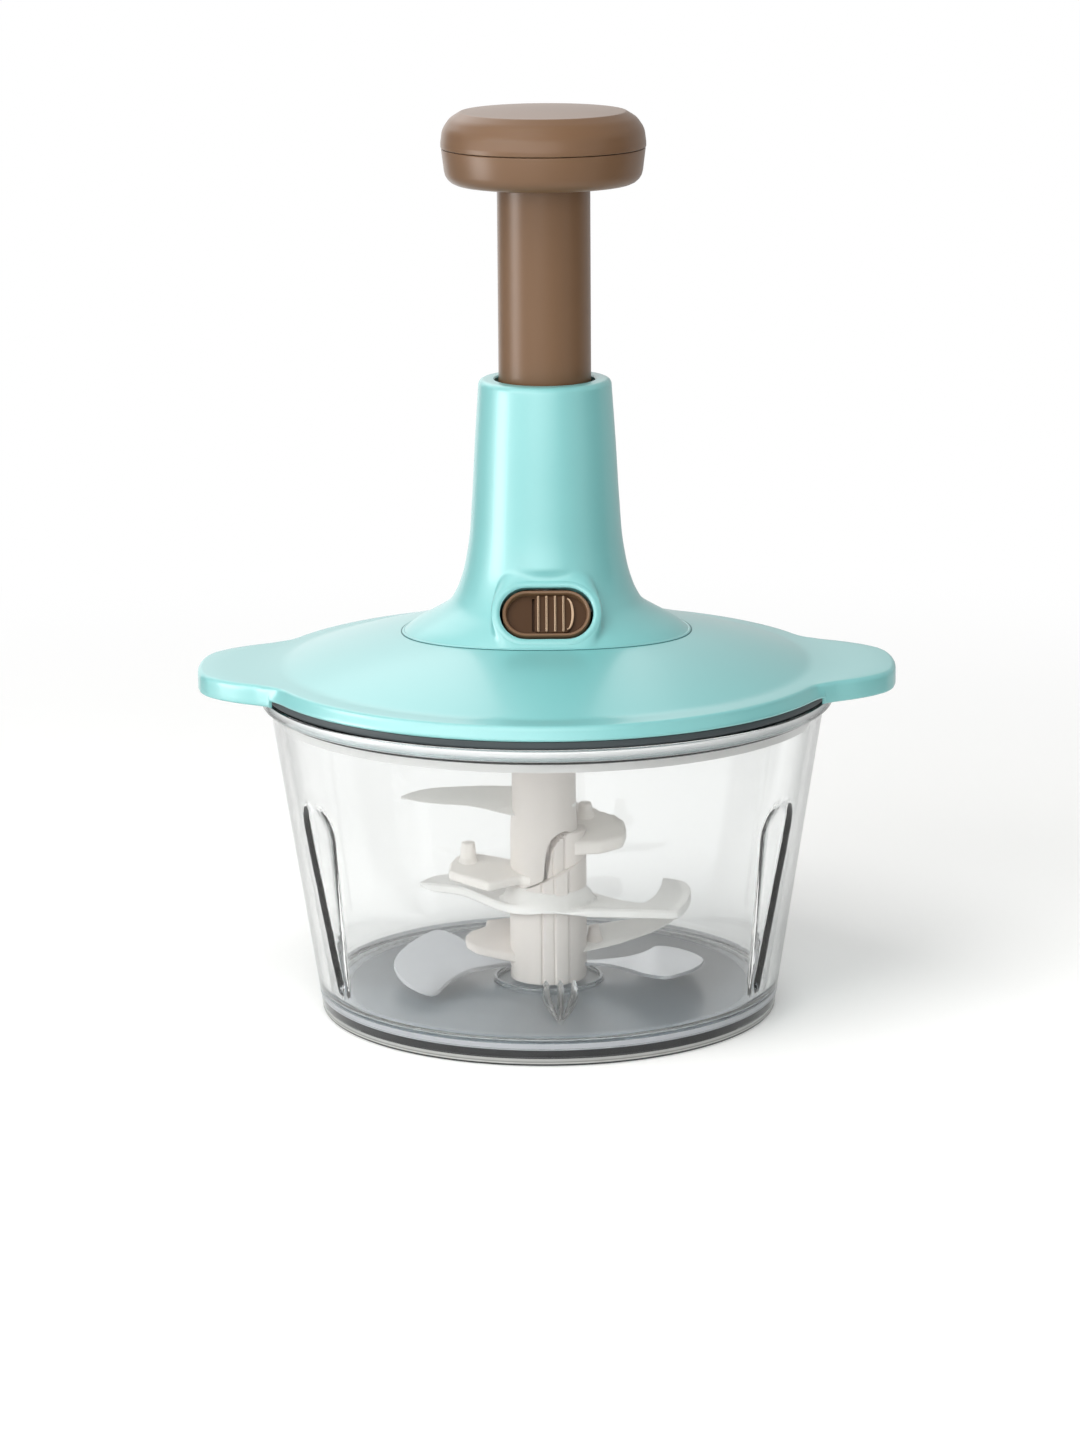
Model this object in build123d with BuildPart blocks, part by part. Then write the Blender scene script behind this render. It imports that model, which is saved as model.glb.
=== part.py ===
from build123d import *
import os
from math import asin, cos, pi, radians, sin, sqrt

os.makedirs("parts", exist_ok=True)

# A press-top food chopper: a clear bowl with a spinning blade tower, under a lid with a plunger.
# Pushing the knob drives a twisted bar down through a nut, and the nut turns the blades.
# Millimetres, z up. The origin is on the table, under the middle of the bowl.
# The front, with the lock button, faces -y. The two finger ears of the lid lie along x.

# Clearances
run_gap = 0.3          # between pieces that move past each other
seat_gap = 0.1         # between a piece and the recess it sits in
blend = 0.6            # small edge rounding on moulded pieces

# Bowl
bowl_top = 101.9
bowl_foot_radius = 71.0
bowl_rim_radius = 86.0
bowl_wall = 3.0
flange_reach = 2.7
flange_thick = 3.9
skirt_bottom = 0.6
skirt_wall = 2.0
floor_top = 7.0
floor_thick = 1.8
floor_fillet = 4.0
collar_radius = 17.2
collar_wall = 1.2
collar_height = 1.8
fin_length = 5.0
rib_reach = 20.0
rib_rise = 4.2
rib_places = (1.2, 5.6)

# Teardrop flutes pressed into the bowl wall
flute_low_height = 16.0
flute_high_height = 65.0
flute_low_radius = 3.6
flute_high_radius = 11.7
flute_low_depth = 1.0
flute_high_depth = 4.0
flute_angles = (-30, -150, 90)

# Non-slip pad under the bowl
pad_thick = 2.4
foot_outer_radius = 58.0
foot_inner_radius = 50.0

# Pivot that the blade tower turns on
pin_radius = 3.0
pin_seat_floor = 1.0
boss_radius = 5.4
boss_height = 4.7

# Blade tower
hub_foot_gap = 1.5
hub_head_gap = 2.0
lower_hub_radius = 12.1
upper_hub_radius = 11.3
hub_bore_radius = 5.6
neck_radius = 9.3
neck_top = 60.0
pin_head_gap = 2.0
hub_web_thick = 11.0
hub_seam_height = 42.5
hub_seam_angle = 26.0
bush_height = 9.0
blade_thick = 1.0
blade_reach = 46.0
floor_blade_height = 12.6
lower_blade_height = 18.6
middle_blade_height = 33.5
top_blade_height = 63.5
floor_blade_pitch_angle = -5.7
lower_blade_pitch_angle = 11.3
middle_blade_pitch_angle = 3.4
top_blade_pitch_angle = -24.7
arm_reach = 31.0
lower_arm_height = 16.6
left_arm_height = 41.7
right_arm_height = 51.2
lower_arm_thick = 2.8
left_arm_thick = 3.0
right_arm_thick = 4.4
lower_arm_pitch_angle = 22.8
left_arm_pitch_angle = 8.0
right_arm_pitch_angle = 14.6
peg_radius = 1.6
peg_height = 7.4
knot_height = 5.4

# Twisted drive bar, nut and spindle
stroke = 56.0
turns_per_stroke = 2
drive_bar_width = 8.6
drive_bar_thick = 3.4
drive_bar_tail = 4.5
nut_gap = 0.4
nut_rise = 41.3
nut_height = 10.5
spindle_neck = 1.7
crown_thick = 4.5
plug_length = 14.0
plug_across = 13.0
tooth_height = 1.2
tooth_count = 6
spindle_bush_height = 6.0

# Return spring and its room
spring_inset = 1.0
spring_wire = 1.3
retainer_thick = 3.4
spring_room = 24.0

# Drive column inside the lid
column_gap = 0.8
column_wall = 1.6
column_flange_radius = 32.5
column_flange_thick = 3.0
column_rib_reach = 1.3
column_rib_width = 3.0

# Lid
rim_overhang = 0.8
rim_draft = 1.1
rim_band = 7.1
rim_drop = 0.4
dome_edge_rise = 7.5
dome_rise = 13.8
lid_wall = 2.6
ear_reach = 18.5
ear_width_share = 0.302
ear_tip_share = 0.156
ear_root_share = 0.4246
ear_thick = 6.4
seal_lip_inset = 0.4
seal_lip_thick = 2.6
seal_bead = 1.9
skirt_gap = 1.0
lid_skirt_wall = 2.4
lid_skirt_depth = 5.7
plate_thick = 2.2
plate_upstand = 2.8

# Tower on the lid
tower_half_x = 44.0
tower_half_y = 36.0
tower_seat_drop = 8.2
tower_wall = 2.5
tower_height = 82.6
tower_top_radius = 20.4
mouth_thick = 2.0
mouth_gap = 1.25
sleeve_wall = 3.55
sleeve_length = 24.0
tower_screw_circle = 28.0
tower_boss_radius = 3.6
screw_radius = 1.5
screw_head_radius = 2.8
screw_head_thick = 1.6

# Plunger and knob
tube_radius = 14.15
tube_wall = 2.15
tube_foot_gap = 1.3
knob_rest_gap = 3.4
knob_floor = 3.0
knob_base_height = 11.0
knob_cap_height = 12.0
knob_radius = 31.1
knob_bottom_radius = 29.6
knob_wall = 2.6
knob_bore_inset = 4.5
tube_flange_reach = 6.35
tube_flange_thick = 2.5
web_thick = 2.5
head_across = 16.0
keeper_thick = 2.0
knob_screw_circle = 17.4
knob_screw_radius = 1.2

# Lock
lock_travel = 7.0
lock_rise = 13.9
lock_thick = 3.0
lock_tongue_width = 6.0
button_depth = 29.4
button_lean = 30.0
button_width = 28.0
button_tall = 16.0
button_rim = 1.8
tray_depth = 3.4
pad_left = -3.4
pad_right = 9.5

# Sizes that follow from the ones above
flange_bottom = bowl_top - flange_thick
flange_radius = bowl_rim_radius + flange_reach
floor_bottom = floor_top - floor_thick
wall_slope = (bowl_rim_radius - bowl_foot_radius) / (flange_bottom - skirt_bottom)
bowl_mouth_radius = bowl_rim_radius - bowl_wall
boss_top = floor_top + boss_height
hub_bottom = floor_top + hub_foot_gap
pin_top = neck_top - pin_head_gap
rim_bottom = bowl_top + seal_lip_thick
rim_radius = flange_radius + rim_overhang
rim_inner_radius = rim_radius - lid_wall
rim_top_radius = rim_radius - rim_draft
dome_edge_radius = rim_top_radius - rim_band
dome_edge_height = bowl_top + dome_edge_rise
dome_top = dome_edge_height + dome_rise
rim_top = dome_edge_height - rim_drop
ear_tip = rim_radius + ear_reach
ear_half_width = ear_width_share * rim_radius
ear_tip_half_width = ear_tip_share * rim_radius
ear_root_half_width = ear_root_share * rim_radius
seal_lip_radius = flange_radius - seal_lip_inset
seal_seat_height = rim_bottom + seal_bead
skirt_outer_radius = bowl_mouth_radius - skirt_gap
skirt_inner_radius = skirt_outer_radius - lid_skirt_wall
lid_skirt_bottom = bowl_top - lid_skirt_depth
plate_bottom = lid_skirt_bottom - plate_thick
flange_seat = lid_skirt_bottom + column_flange_thick
hub_top = plate_bottom - hub_head_gap
plug_bottom = hub_top - plug_length
tube_inner_radius = tube_radius - tube_wall
column_radius = tube_inner_radius - column_gap
column_bore_radius = column_radius - column_wall
nut_radius = column_bore_radius - nut_gap
spindle_radius = nut_radius - spindle_neck
spring_radius = column_bore_radius - spring_inset
lead = stroke / turns_per_stroke
nut_bottom = lid_skirt_bottom + nut_rise
nut_top = nut_bottom + nut_height
drive_bar_bottom = nut_bottom - drive_bar_tail
column_top = nut_top + spring_room
crown_top = nut_bottom - tooth_height - run_gap
crown_bottom = crown_top - crown_thick
retainer_bottom = nut_top + run_gap
spring_bottom = retainer_bottom + retainer_thick
tower_seat_height = dome_top - tower_seat_drop
tower_top = tower_seat_height + tower_height
lock_height = tower_seat_height + lock_rise
button_height = lock_height + lock_thick / 2
mouth_radius = tube_radius + mouth_gap
sleeve_radius = tube_radius + run_gap + sleeve_wall
tube_bottom = flange_seat + stroke + tube_foot_gap
tube_flange_radius = tube_radius + tube_flange_reach
knob_bottom = tower_top + stroke + knob_rest_gap
knob_seam = knob_bottom + knob_base_height
knob_top = knob_seam + knob_cap_height
knob_bore_radius = knob_radius - knob_bore_inset
web_top = knob_bottom + knob_floor
web_bottom = web_top - web_thick
keeper_bottom = web_top + tube_flange_thick
bar_corner = sqrt(drive_bar_width**2 + drive_bar_thick**2) / 2
bar_bore_radius = bar_corner + run_gap


def wall_radius(height):
    """Radius of the bowl's outer wall at a height."""
    return bowl_foot_radius + wall_slope * (height - skirt_bottom)


def ring(outer, inner, bottom, top, mode=Mode.ADD):
    """Plain ring or disc between two heights, in the part being built."""
    with BuildSketch(Plane.XY.offset(bottom)) as face:
        Circle(outer)
        if inner:
            Circle(inner, mode=Mode.SUBTRACT)
    extrude(face.sketch, amount=top - bottom, mode=mode)


def oval(half_x, half_y, bottom, top, mode=Mode.ADD):
    """Upright oval block between two heights."""
    with BuildSketch(Plane.XY.offset(bottom)) as face:
        Ellipse(half_x, half_y)
    extrude(face.sketch, amount=top - bottom, mode=mode)


def turned(points, mode=Mode.ADD):
    """Solid turned about the z axis from an outline of radius and height pairs."""
    with BuildSketch(Plane.XZ) as face:
        with BuildLine():
            Polyline(*points, close=True)
        make_face()
    revolve(face.sketch, axis=Axis.Z, mode=mode)


def posts(radius, circle, count, start, bottom, top, mode=Mode.ADD):
    """Round posts or holes on a circle."""
    with BuildSketch(Plane.XY.offset(bottom)) as face:
        with PolarLocations(circle, count, start_angle=start):
            Circle(radius)
    extrude(face.sketch, amount=top - bottom, mode=mode)


def finish(piece, name):
    """Label a finished piece and write it."""
    piece.part.label = name
    export_step(piece.part, f"parts/{name}.step")


# Bowl body


def flute(margin):
    """One teardrop pressing, as a solid that is fatter by the margin, at azimuth zero."""
    low = (wall_radius(flute_low_height) + flute_low_radius - flute_low_depth, flute_low_height)
    high = (wall_radius(flute_high_height) + flute_high_radius - flute_high_depth, flute_high_height)
    length = sqrt((high[0] - low[0]) ** 2 + (high[1] - low[1]) ** 2)
    small = flute_low_radius + margin
    large = flute_high_radius + margin
    lean = asin((large - small) / length)
    low_mid = radians(135) + lean / 2
    high_mid = radians(45) + lean / 2
    along = Vector(high[0] - low[0], 0, high[1] - low[1])
    spine = Plane(origin=(low[0], 0, low[1]), x_dir=along, z_dir=(0, -1, 0))
    with BuildPart() as drop:
        with BuildSketch(spine):
            with BuildLine():
                ThreePointArc(
                    (-small, 0),
                    (small * cos(low_mid), small * sin(low_mid)),
                    (-small * sin(lean), small * cos(lean)),
                )
                Line(
                    (-small * sin(lean), small * cos(lean)),
                    (length - large * sin(lean), large * cos(lean)),
                )
                ThreePointArc(
                    (length - large * sin(lean), large * cos(lean)),
                    (length + large * cos(high_mid), large * sin(high_mid)),
                    (length + large, 0),
                )
                Line((length + large, 0), (-small, 0))
            make_face()
        revolve(axis=Axis(spine.origin, along))
    return drop.part


with BuildPart() as bowl_room:
    with BuildSketch(Plane.XZ):
        with BuildLine():
            Polyline(
                (0, floor_top),
                (wall_radius(floor_top) - bowl_wall, floor_top),
                (bowl_mouth_radius, flange_bottom),
                (bowl_mouth_radius, bowl_top),
                (0, bowl_top),
                close=True,
            )
        make_face()
    revolve(axis=Axis.Z)
    fillet(bowl_room.edges().filter_by(GeomType.CIRCLE).group_by(Axis.Z)[0], floor_fillet)
    for angle in flute_angles:
        add(flute(bowl_wall).rotate(Axis.Z, angle), mode=Mode.SUBTRACT)

with BuildPart() as bowl:
    with BuildSketch(Plane.XZ):
        with BuildLine():
            Polyline(
                (0, floor_bottom),
                (bowl_foot_radius - skirt_wall, floor_bottom),
                (bowl_foot_radius - skirt_wall, skirt_bottom),
                (bowl_foot_radius, skirt_bottom),
                (bowl_rim_radius, flange_bottom),
                (flange_radius, flange_bottom),
                (flange_radius, bowl_top),
                (0, bowl_top),
                close=True,
            )
        make_face()
    revolve(axis=Axis.Z)
    add(bowl_room.part, mode=Mode.SUBTRACT)
    for angle in flute_angles:
        add(flute(0).rotate(Axis.Z, angle), mode=Mode.SUBTRACT)
    ring(collar_radius, collar_radius - collar_wall, floor_top, floor_top + collar_height)
    ring(boss_radius, 0, floor_top, boss_top)
    with BuildSketch(Plane.XY.offset(floor_top)):
        with PolarLocations(collar_radius + fin_length / 2 - seat_gap, 2, 30, 240):
            Rectangle(fin_length, collar_wall)
    extrude(amount=collar_height)
    for place in rib_places:
        with BuildSketch(Plane.YZ.offset(place - collar_wall / 2)) as face:
            with BuildLine():
                Polyline(
                    (collar_wall - collar_radius, floor_top),
                    (collar_wall - collar_radius, floor_top + collar_height),
                    (-collar_radius, floor_top + rib_rise),
                    (-collar_radius - rib_reach, floor_top),
                    close=True,
                )
            make_face()
        extrude(face.sketch, amount=collar_wall)
    ring(pin_radius, 0, floor_bottom + pin_seat_floor, boss_top, mode=Mode.SUBTRACT)
finish(bowl, "bowl")

with BuildPart() as base_pad:
    ring(bowl_foot_radius - skirt_wall - seat_gap, 0, floor_bottom - pad_thick, floor_bottom)
    ring(foot_outer_radius, foot_inner_radius, 0, floor_bottom - pad_thick)
    chamfer(base_pad.edges().filter_by(GeomType.CIRCLE).group_by(Axis.Z)[0], blend)
finish(base_pad, "base_pad")

with BuildPart() as pivot_pin:
    ring(pin_radius, 0, floor_bottom + pin_seat_floor, pin_top)
    chamfer(pivot_pin.edges().group_by(Axis.Z)[-1], blend)
finish(pivot_pin, "pivot_pin")

# Blade tower. The whole tower turns clockwise seen from above. Each wing points along its own x, in
# parts of the blade reach, and is a row of arcs, each given by its start, a point on it and its end.
floor_wing = (
    ((0.17, 0.09), (0.53, 0.183), (0.752, 0.578)),
    ((0.752, 0.578), (1.057, 0.0), (0.787, -0.591)),
    ((0.787, -0.591), (0.535, -0.296), (0.17, -0.09)),
)
lower_wing = (
    ((0.087, -0.174), (0.543, 0.041), (0.904, 0.404)),
    ((0.904, 0.404), (0.543, 0.333), (0.109, 0.209)),
)
sickle_wing = (
    ((0.02, -0.313), (0.435, -0.355), (0.843, -0.383)),
    ((0.843, -0.383), (0.976, 0.022), (0.883, 0.339)),
    ((0.883, 0.339), (0.846, 0.372), (0.793, 0.378)),
    ((0.793, 0.378), (0.752, 0.076), (0.641, -0.152)),
    ((0.641, -0.152), (0.391, -0.022), (0.087, 0.196)),
)
beak_wing = (
    ((0.043, 0.326), (0.337, 0.187), (0.587, -0.161)),
    ((0.587, -0.161), (0.735, -0.193), (0.887, -0.304)),
    ((0.887, -0.304), (0.83, -0.439), (0.696, -0.552)),
    ((0.696, -0.552), (0.435, -0.448), (0.087, -0.261)),
)
top_wing = (
    ((0.087, 0.124), (0.535, -0.004), (0.998, -0.091)),
    ((0.998, -0.091), (0.548, -0.196), (0.087, -0.165)),
)


def wing(outline, height, azimuth, pitch):
    """One flat wing, pitched about its own x and turned to its azimuth."""
    ground = Plane.XY.offset(height - blade_thick / 2)
    arcs = [[(x * blade_reach, y * blade_reach) for x, y in arc] for arc in outline]
    with BuildPart() as plate:
        with BuildSketch(ground.rotated((pitch, 0, 0))):
            with BuildLine():
                for arc in arcs:
                    ThreePointArc(*arc)
                Line(arcs[-1][2], arcs[0][0])
            make_face()
        extrude(amount=blade_thick)
    return plate.part.rotate(Axis.Z, azimuth)


blade_root_radius = (hub_bore_radius + lower_hub_radius) / 2 + 2.0
blade_hole_radius = hub_bore_radius + seat_gap


def blade(wings, height, pitch, hole):
    """Blade plate: a round root with its wings fused to it."""
    with BuildPart() as plate:
        for outline, azimuth in wings:
            add(wing(outline, height, azimuth, pitch))
        ring(blade_root_radius, 0, height - blade_thick / 2, height + blade_thick / 2)
        ring(hole, 0, height - 6 * blade_thick, height + 6 * blade_thick, mode=Mode.SUBTRACT)
    return plate


floor_blade = blade(
    [(floor_wing, 0), (floor_wing, 180)], floor_blade_height, floor_blade_pitch_angle, blade_hole_radius
)
lower_blade = blade([(lower_wing, 0)], lower_blade_height, lower_blade_pitch_angle, blade_hole_radius)
middle_blade = blade(
    [(sickle_wing, 0), (beak_wing, 180)], middle_blade_height, middle_blade_pitch_angle, blade_hole_radius
)
top_blade = blade([(top_wing, 180)], top_blade_height, top_blade_pitch_angle, pin_radius)
finish(floor_blade, "floor_blade")
finish(lower_blade, "lower_blade")
finish(middle_blade, "middle_blade")
finish(top_blade, "top_blade")

# Stirring arms of the two hubs: corners in parts of the arm reach, seen from above
lower_arm = (
    (-0.39, 0.39), (-0.63, 0.35), (-0.64, 0.25), (-0.79, 0.18), (-0.85, 0.1), (-0.83, 0.02),
    (-0.73, -0.07), (-0.48, -0.155), (-0.26, -0.21), (-0.19, 0.26),
)
left_arm = (
    (-0.1, 0.26), (-0.37, 0.15), (-0.72, 0.31), (-0.93, 0.24), (-0.99, 0.065), (-1.0, -0.155),
    (-0.6, -0.46), (-0.53, -0.43), (-0.28, -0.28), (-0.18, -0.31), (-0.1, -0.26),
)
right_arm = (
    (0.13, -0.26), (0.28, -0.26), (0.53, -0.23), (0.75, -0.12), (0.79, 0.05), (0.77, 0.21),
    (0.7, 0.21), (0.69, 0.31), (0.6, 0.34), (0.55, 0.39), (0.43, 0.52), (0.26, 0.6), (0.1, 0.29),
)
peg_place = (-0.81, 0.1)
knot_place = (0.37, 0.31)
low_peg_place = (0.465, 0.08)
seam_plane = Plane(
    origin=(0, 0, hub_seam_height),
    z_dir=(-sin(radians(hub_seam_angle)), 0, cos(radians(hub_seam_angle))),
)


def arm(corners, height, thick, pitch):
    """Flat arm with small corner rounds, pitched about x, in the part being built."""
    with BuildSketch(Plane.XY.offset(height).rotated((pitch, 0, 0))) as face:
        with BuildLine():
            Polyline(*[(x * arm_reach, y * arm_reach) for x, y in corners], close=True)
        make_face()
        fillet(face.vertices(), blend)
    extrude(face.sketch, amount=thick)


def peg(place, bottom, top):
    """Small round post on an arm, with a wider foot."""
    x, y = place[0] * arm_reach, place[1] * arm_reach
    with BuildSketch(Plane.XY.offset(bottom)) as foot:
        with Locations((x, y)):
            Circle(peg_radius + blend)
    with BuildSketch(Plane.XY.offset(top)) as head:
        with Locations((x, y)):
            Circle(peg_radius - blend / 2)
    loft([foot.sketch, head.sketch])


with BuildPart() as lower_hub:
    ring(lower_hub_radius, 0, hub_bottom, neck_top)
    split(bisect_by=seam_plane, keep=Keep.BOTTOM)
    ring(neck_radius, 0, hub_seam_height - upper_hub_radius, neck_top)
    arm(lower_arm, lower_arm_height, lower_arm_thick, lower_arm_pitch_angle)
    peg(low_peg_place, lower_blade_height + blade_thick, lower_blade_height + peg_height)
    with BuildSketch(Plane.XY.offset(lower_blade_height + 2 * blade_thick)):
        Rectangle(arm_reach, peg_radius, align=(Align.MIN, Align.CENTER))
    extrude(amount=peg_height / 2)
    ring(hub_bore_radius, 0, hub_bottom, neck_top, mode=Mode.SUBTRACT)
    ring(boss_radius + 2 * run_gap, 0, hub_bottom, boss_top + run_gap, mode=Mode.SUBTRACT)
    add(floor_blade.part, mode=Mode.SUBTRACT)
    add(lower_blade.part, mode=Mode.SUBTRACT)
    add(middle_blade.part, mode=Mode.SUBTRACT)
finish(lower_hub, "lower_hub")

arch_width = 8.0
arch_top = 56.0
arch_centre = 3.8
socket_bottom = neck_top + seat_gap + hub_web_thick
left_arm_top = left_arm_height + left_arm_thick
right_arm_top = right_arm_height + right_arm_thick

with BuildPart() as upper_hub:
    ring(upper_hub_radius, 0, hub_seam_height - upper_hub_radius, hub_top)
    arm(left_arm, left_arm_height, left_arm_thick, left_arm_pitch_angle)
    peg(peg_place, left_arm_top - 2 * blend, left_arm_top + peg_height)
    split(bisect_by=seam_plane, keep=Keep.TOP)
    arm(right_arm, right_arm_height, right_arm_thick, right_arm_pitch_angle)
    peg(knot_place, right_arm_top, right_arm_top + knot_height)
    ring(neck_radius + seat_gap, 0, hub_bottom, neck_top + seat_gap, mode=Mode.SUBTRACT)
    with BuildSketch(Plane.XY.offset(socket_bottom)):
        RegularPolygon(plug_across / 2 + run_gap, 6, major_radius=False)
    extrude(amount=hub_top - socket_bottom, mode=Mode.SUBTRACT)
    with BuildSketch(Plane.XZ):
        with Locations((arch_centre, arch_top - arch_width / 2)):
            Circle(arch_width / 2)
        with Locations((arch_centre, hub_seam_height)):
            Rectangle(arch_width, 2 * (arch_top - arch_width / 2 - hub_seam_height))
    extrude(amount=2 * upper_hub_radius, mode=Mode.SUBTRACT)
    add(top_blade.part, mode=Mode.SUBTRACT)
finish(upper_hub, "upper_hub")

with BuildPart() as lower_pivot_bush:
    ring(hub_bore_radius, pin_radius + seat_gap, boss_top + run_gap, boss_top + run_gap + bush_height)
finish(lower_pivot_bush, "lower_pivot_bush")

with BuildPart() as upper_pivot_bush:
    ring(hub_bore_radius, pin_radius + seat_gap, pin_top - bush_height, pin_top)
finish(upper_pivot_bush, "upper_pivot_bush")

# Drive: twisted bar, nut and spindle


def twisted_bar(width, thick, bottom, top):
    """Flat bar twisted about z, one full turn clockwise for each lead of height."""
    height = top - bottom
    with BuildPart() as bar:
        with BuildSketch():
            Rectangle(width, thick)
        with BuildLine() as spine:
            Line((0, 0, 0), (0, 0, height))
        with BuildLine(mode=Mode.PRIVATE):
            edge = Helix(pitch=lead, height=height, radius=width / 2, lefthand=True)
        sweep(path=spine.line, binormal=edge)
    return bar.part.moved(Location((0, 0, bottom), (0, 0, -360 * bottom / lead)))


with BuildPart() as drive_screw:
    add(twisted_bar(drive_bar_width, drive_bar_thick, drive_bar_bottom, web_bottom))
    ring(bar_corner, 0, web_bottom, web_top)
    with BuildSketch(Plane.XY.offset(web_top)):
        RegularPolygon(head_across / 2 - seat_gap, 6, major_radius=False)
    extrude(amount=tube_flange_thick)
finish(drive_screw, "drive_screw")

tooth_length = nut_radius - bar_bore_radius - 2 * run_gap
tooth_width = 2.2

with BuildPart() as drive_nut:
    ring(nut_radius, 0, nut_bottom, nut_top)
    with BuildSketch(Plane.XY.offset(nut_bottom)):
        with PolarLocations(bar_bore_radius + run_gap + tooth_length / 2, tooth_count):
            Rectangle(tooth_length, tooth_width)
    extrude(amount=-tooth_height)
    add(
        twisted_bar(
            drive_bar_width + 2 * run_gap,
            drive_bar_thick + 2 * run_gap,
            nut_bottom - 2 * tooth_height,
            nut_top + tooth_height,
        ),
        mode=Mode.SUBTRACT,
    )
finish(drive_nut, "drive_nut")

with BuildPart() as drive_spindle:
    ring(nut_radius, 0, crown_bottom, crown_top)
    with BuildSketch(Plane.XY.offset(crown_top)):
        with PolarLocations(
            bar_bore_radius + run_gap + tooth_length / 2, tooth_count, start_angle=180 / tooth_count
        ):
            Rectangle(tooth_length, tooth_width)
    extrude(amount=tooth_height)
    ring(spindle_radius, 0, lid_skirt_bottom, crown_bottom)
    with BuildSketch(Plane.XY.offset(plug_bottom)):
        RegularPolygon(plug_across / 2, 6, major_radius=False)
    extrude(amount=lid_skirt_bottom - plug_bottom)
    ring(bar_bore_radius, 0, plug_bottom, crown_top, mode=Mode.SUBTRACT)
finish(drive_spindle, "drive_spindle")

# Lid body

upper_bush_top = crown_bottom - seat_gap
upper_bush_bottom = upper_bush_top - spindle_bush_height
lower_bush_top = lid_skirt_bottom + spindle_bush_height
column_waist_radius = spindle_radius + 2 * run_gap

with BuildPart() as drive_column:
    ring(column_flange_radius, 0, lid_skirt_bottom, flange_seat)
    ring(column_radius, 0, flange_seat, column_top)
    with BuildSketch(Plane.XY.offset(flange_seat)):
        Rectangle(column_rib_width, 2 * (column_radius + column_rib_reach))
        Circle(column_radius - seat_gap, mode=Mode.SUBTRACT)
    extrude(amount=column_top - flange_seat)
    ring(column_bore_radius, 0, upper_bush_bottom, column_top, mode=Mode.SUBTRACT)
    ring(column_waist_radius, 0, lower_bush_top, upper_bush_bottom, mode=Mode.SUBTRACT)
    ring(column_bore_radius, 0, lid_skirt_bottom, lower_bush_top, mode=Mode.SUBTRACT)
    posts(
        screw_radius + seat_gap, tower_screw_circle, 4, 45, lid_skirt_bottom, flange_seat, Mode.SUBTRACT
    )
finish(drive_column, "drive_column")

with BuildPart() as lower_spindle_bush:
    ring(column_bore_radius, spindle_radius + seat_gap, lid_skirt_bottom, lower_bush_top)
finish(lower_spindle_bush, "lower_spindle_bush")

with BuildPart() as upper_spindle_bush:
    ring(column_bore_radius, spindle_radius + seat_gap, upper_bush_bottom, upper_bush_top)
finish(upper_spindle_bush, "upper_spindle_bush")

with BuildPart() as nut_retainer:
    ring(column_bore_radius, bar_bore_radius, retainer_bottom, spring_bottom)
finish(nut_retainer, "nut_retainer")

with BuildPart() as return_spring:
    ring(
        spring_radius + spring_wire / 2, spring_radius - spring_wire / 2, spring_bottom, web_bottom
    )
finish(return_spring, "return_spring")

with BuildPart() as inner_plate:
    ring(skirt_outer_radius, 0, plate_bottom, lid_skirt_bottom)
    ring(
        skirt_outer_radius - lid_skirt_wall - seat_gap,
        skirt_outer_radius - 2 * lid_skirt_wall,
        lid_skirt_bottom,
        lid_skirt_bottom + plate_upstand,
    )
    ring(column_waist_radius, 0, plate_bottom, lid_skirt_bottom, mode=Mode.SUBTRACT)
    posts(
        screw_radius + seat_gap, tower_screw_circle, 4, 45, plate_bottom, lid_skirt_bottom, Mode.SUBTRACT
    )
finish(inner_plate, "inner_plate")

with BuildPart() as lid_seal:
    turned(
        [
            (skirt_outer_radius, bowl_top),
            (seal_lip_radius, bowl_top),
            (seal_lip_radius, rim_bottom),
            (rim_inner_radius, rim_bottom),
            (rim_inner_radius, seal_seat_height),
            (skirt_outer_radius, seal_seat_height),
        ]
    )
finish(lid_seal, "lid_seal")

dome_ball = (dome_edge_radius**2 + (dome_top - dome_edge_height) ** 2) / (
    2 * (dome_top - dome_edge_height)
)


def dome_height(radius):
    """Height of the lid's upper surface at a radius."""
    return dome_top - dome_ball + sqrt(dome_ball**2 - radius**2)


collar_room = 2.4
ledge = 2.5

with BuildPart() as ears:
    root_x = sqrt((rim_radius - lid_wall / 2) ** 2 - ear_root_half_width**2)
    corner = (rim_radius + 0.3 * ear_reach, ear_half_width)
    shoulder = (rim_radius + 0.74 * ear_reach, (ear_half_width + ear_tip_half_width) * 0.55)
    tip_end = (rim_radius + 0.91 * ear_reach, ear_tip_half_width)
    bend = (
        0.58 * corner[0] + 0.42 * root_x,
        0.58 * ear_half_width + 0.42 * ear_root_half_width - 0.08 * ear_reach,
    )
    with BuildSketch(Plane.XY.offset(rim_top - ear_thick)):
        with BuildLine():
            ThreePointArc((root_x, ear_root_half_width), bend, corner)
            ThreePointArc(corner, shoulder, tip_end)
            ThreePointArc(tip_end, (ear_tip, 0), (tip_end[0], -tip_end[1]))
            mirror(about=Plane.XZ)
            Line((root_x, ear_root_half_width), (root_x, -ear_root_half_width))
        make_face()
    extrude(amount=ear_thick)
    mirror(about=Plane.YZ)
    ring(rim_inner_radius, 0, 0, dome_top, mode=Mode.SUBTRACT)
    ring(rim_radius + run_gap, 0, 0, rim_bottom, mode=Mode.SUBTRACT)

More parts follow.
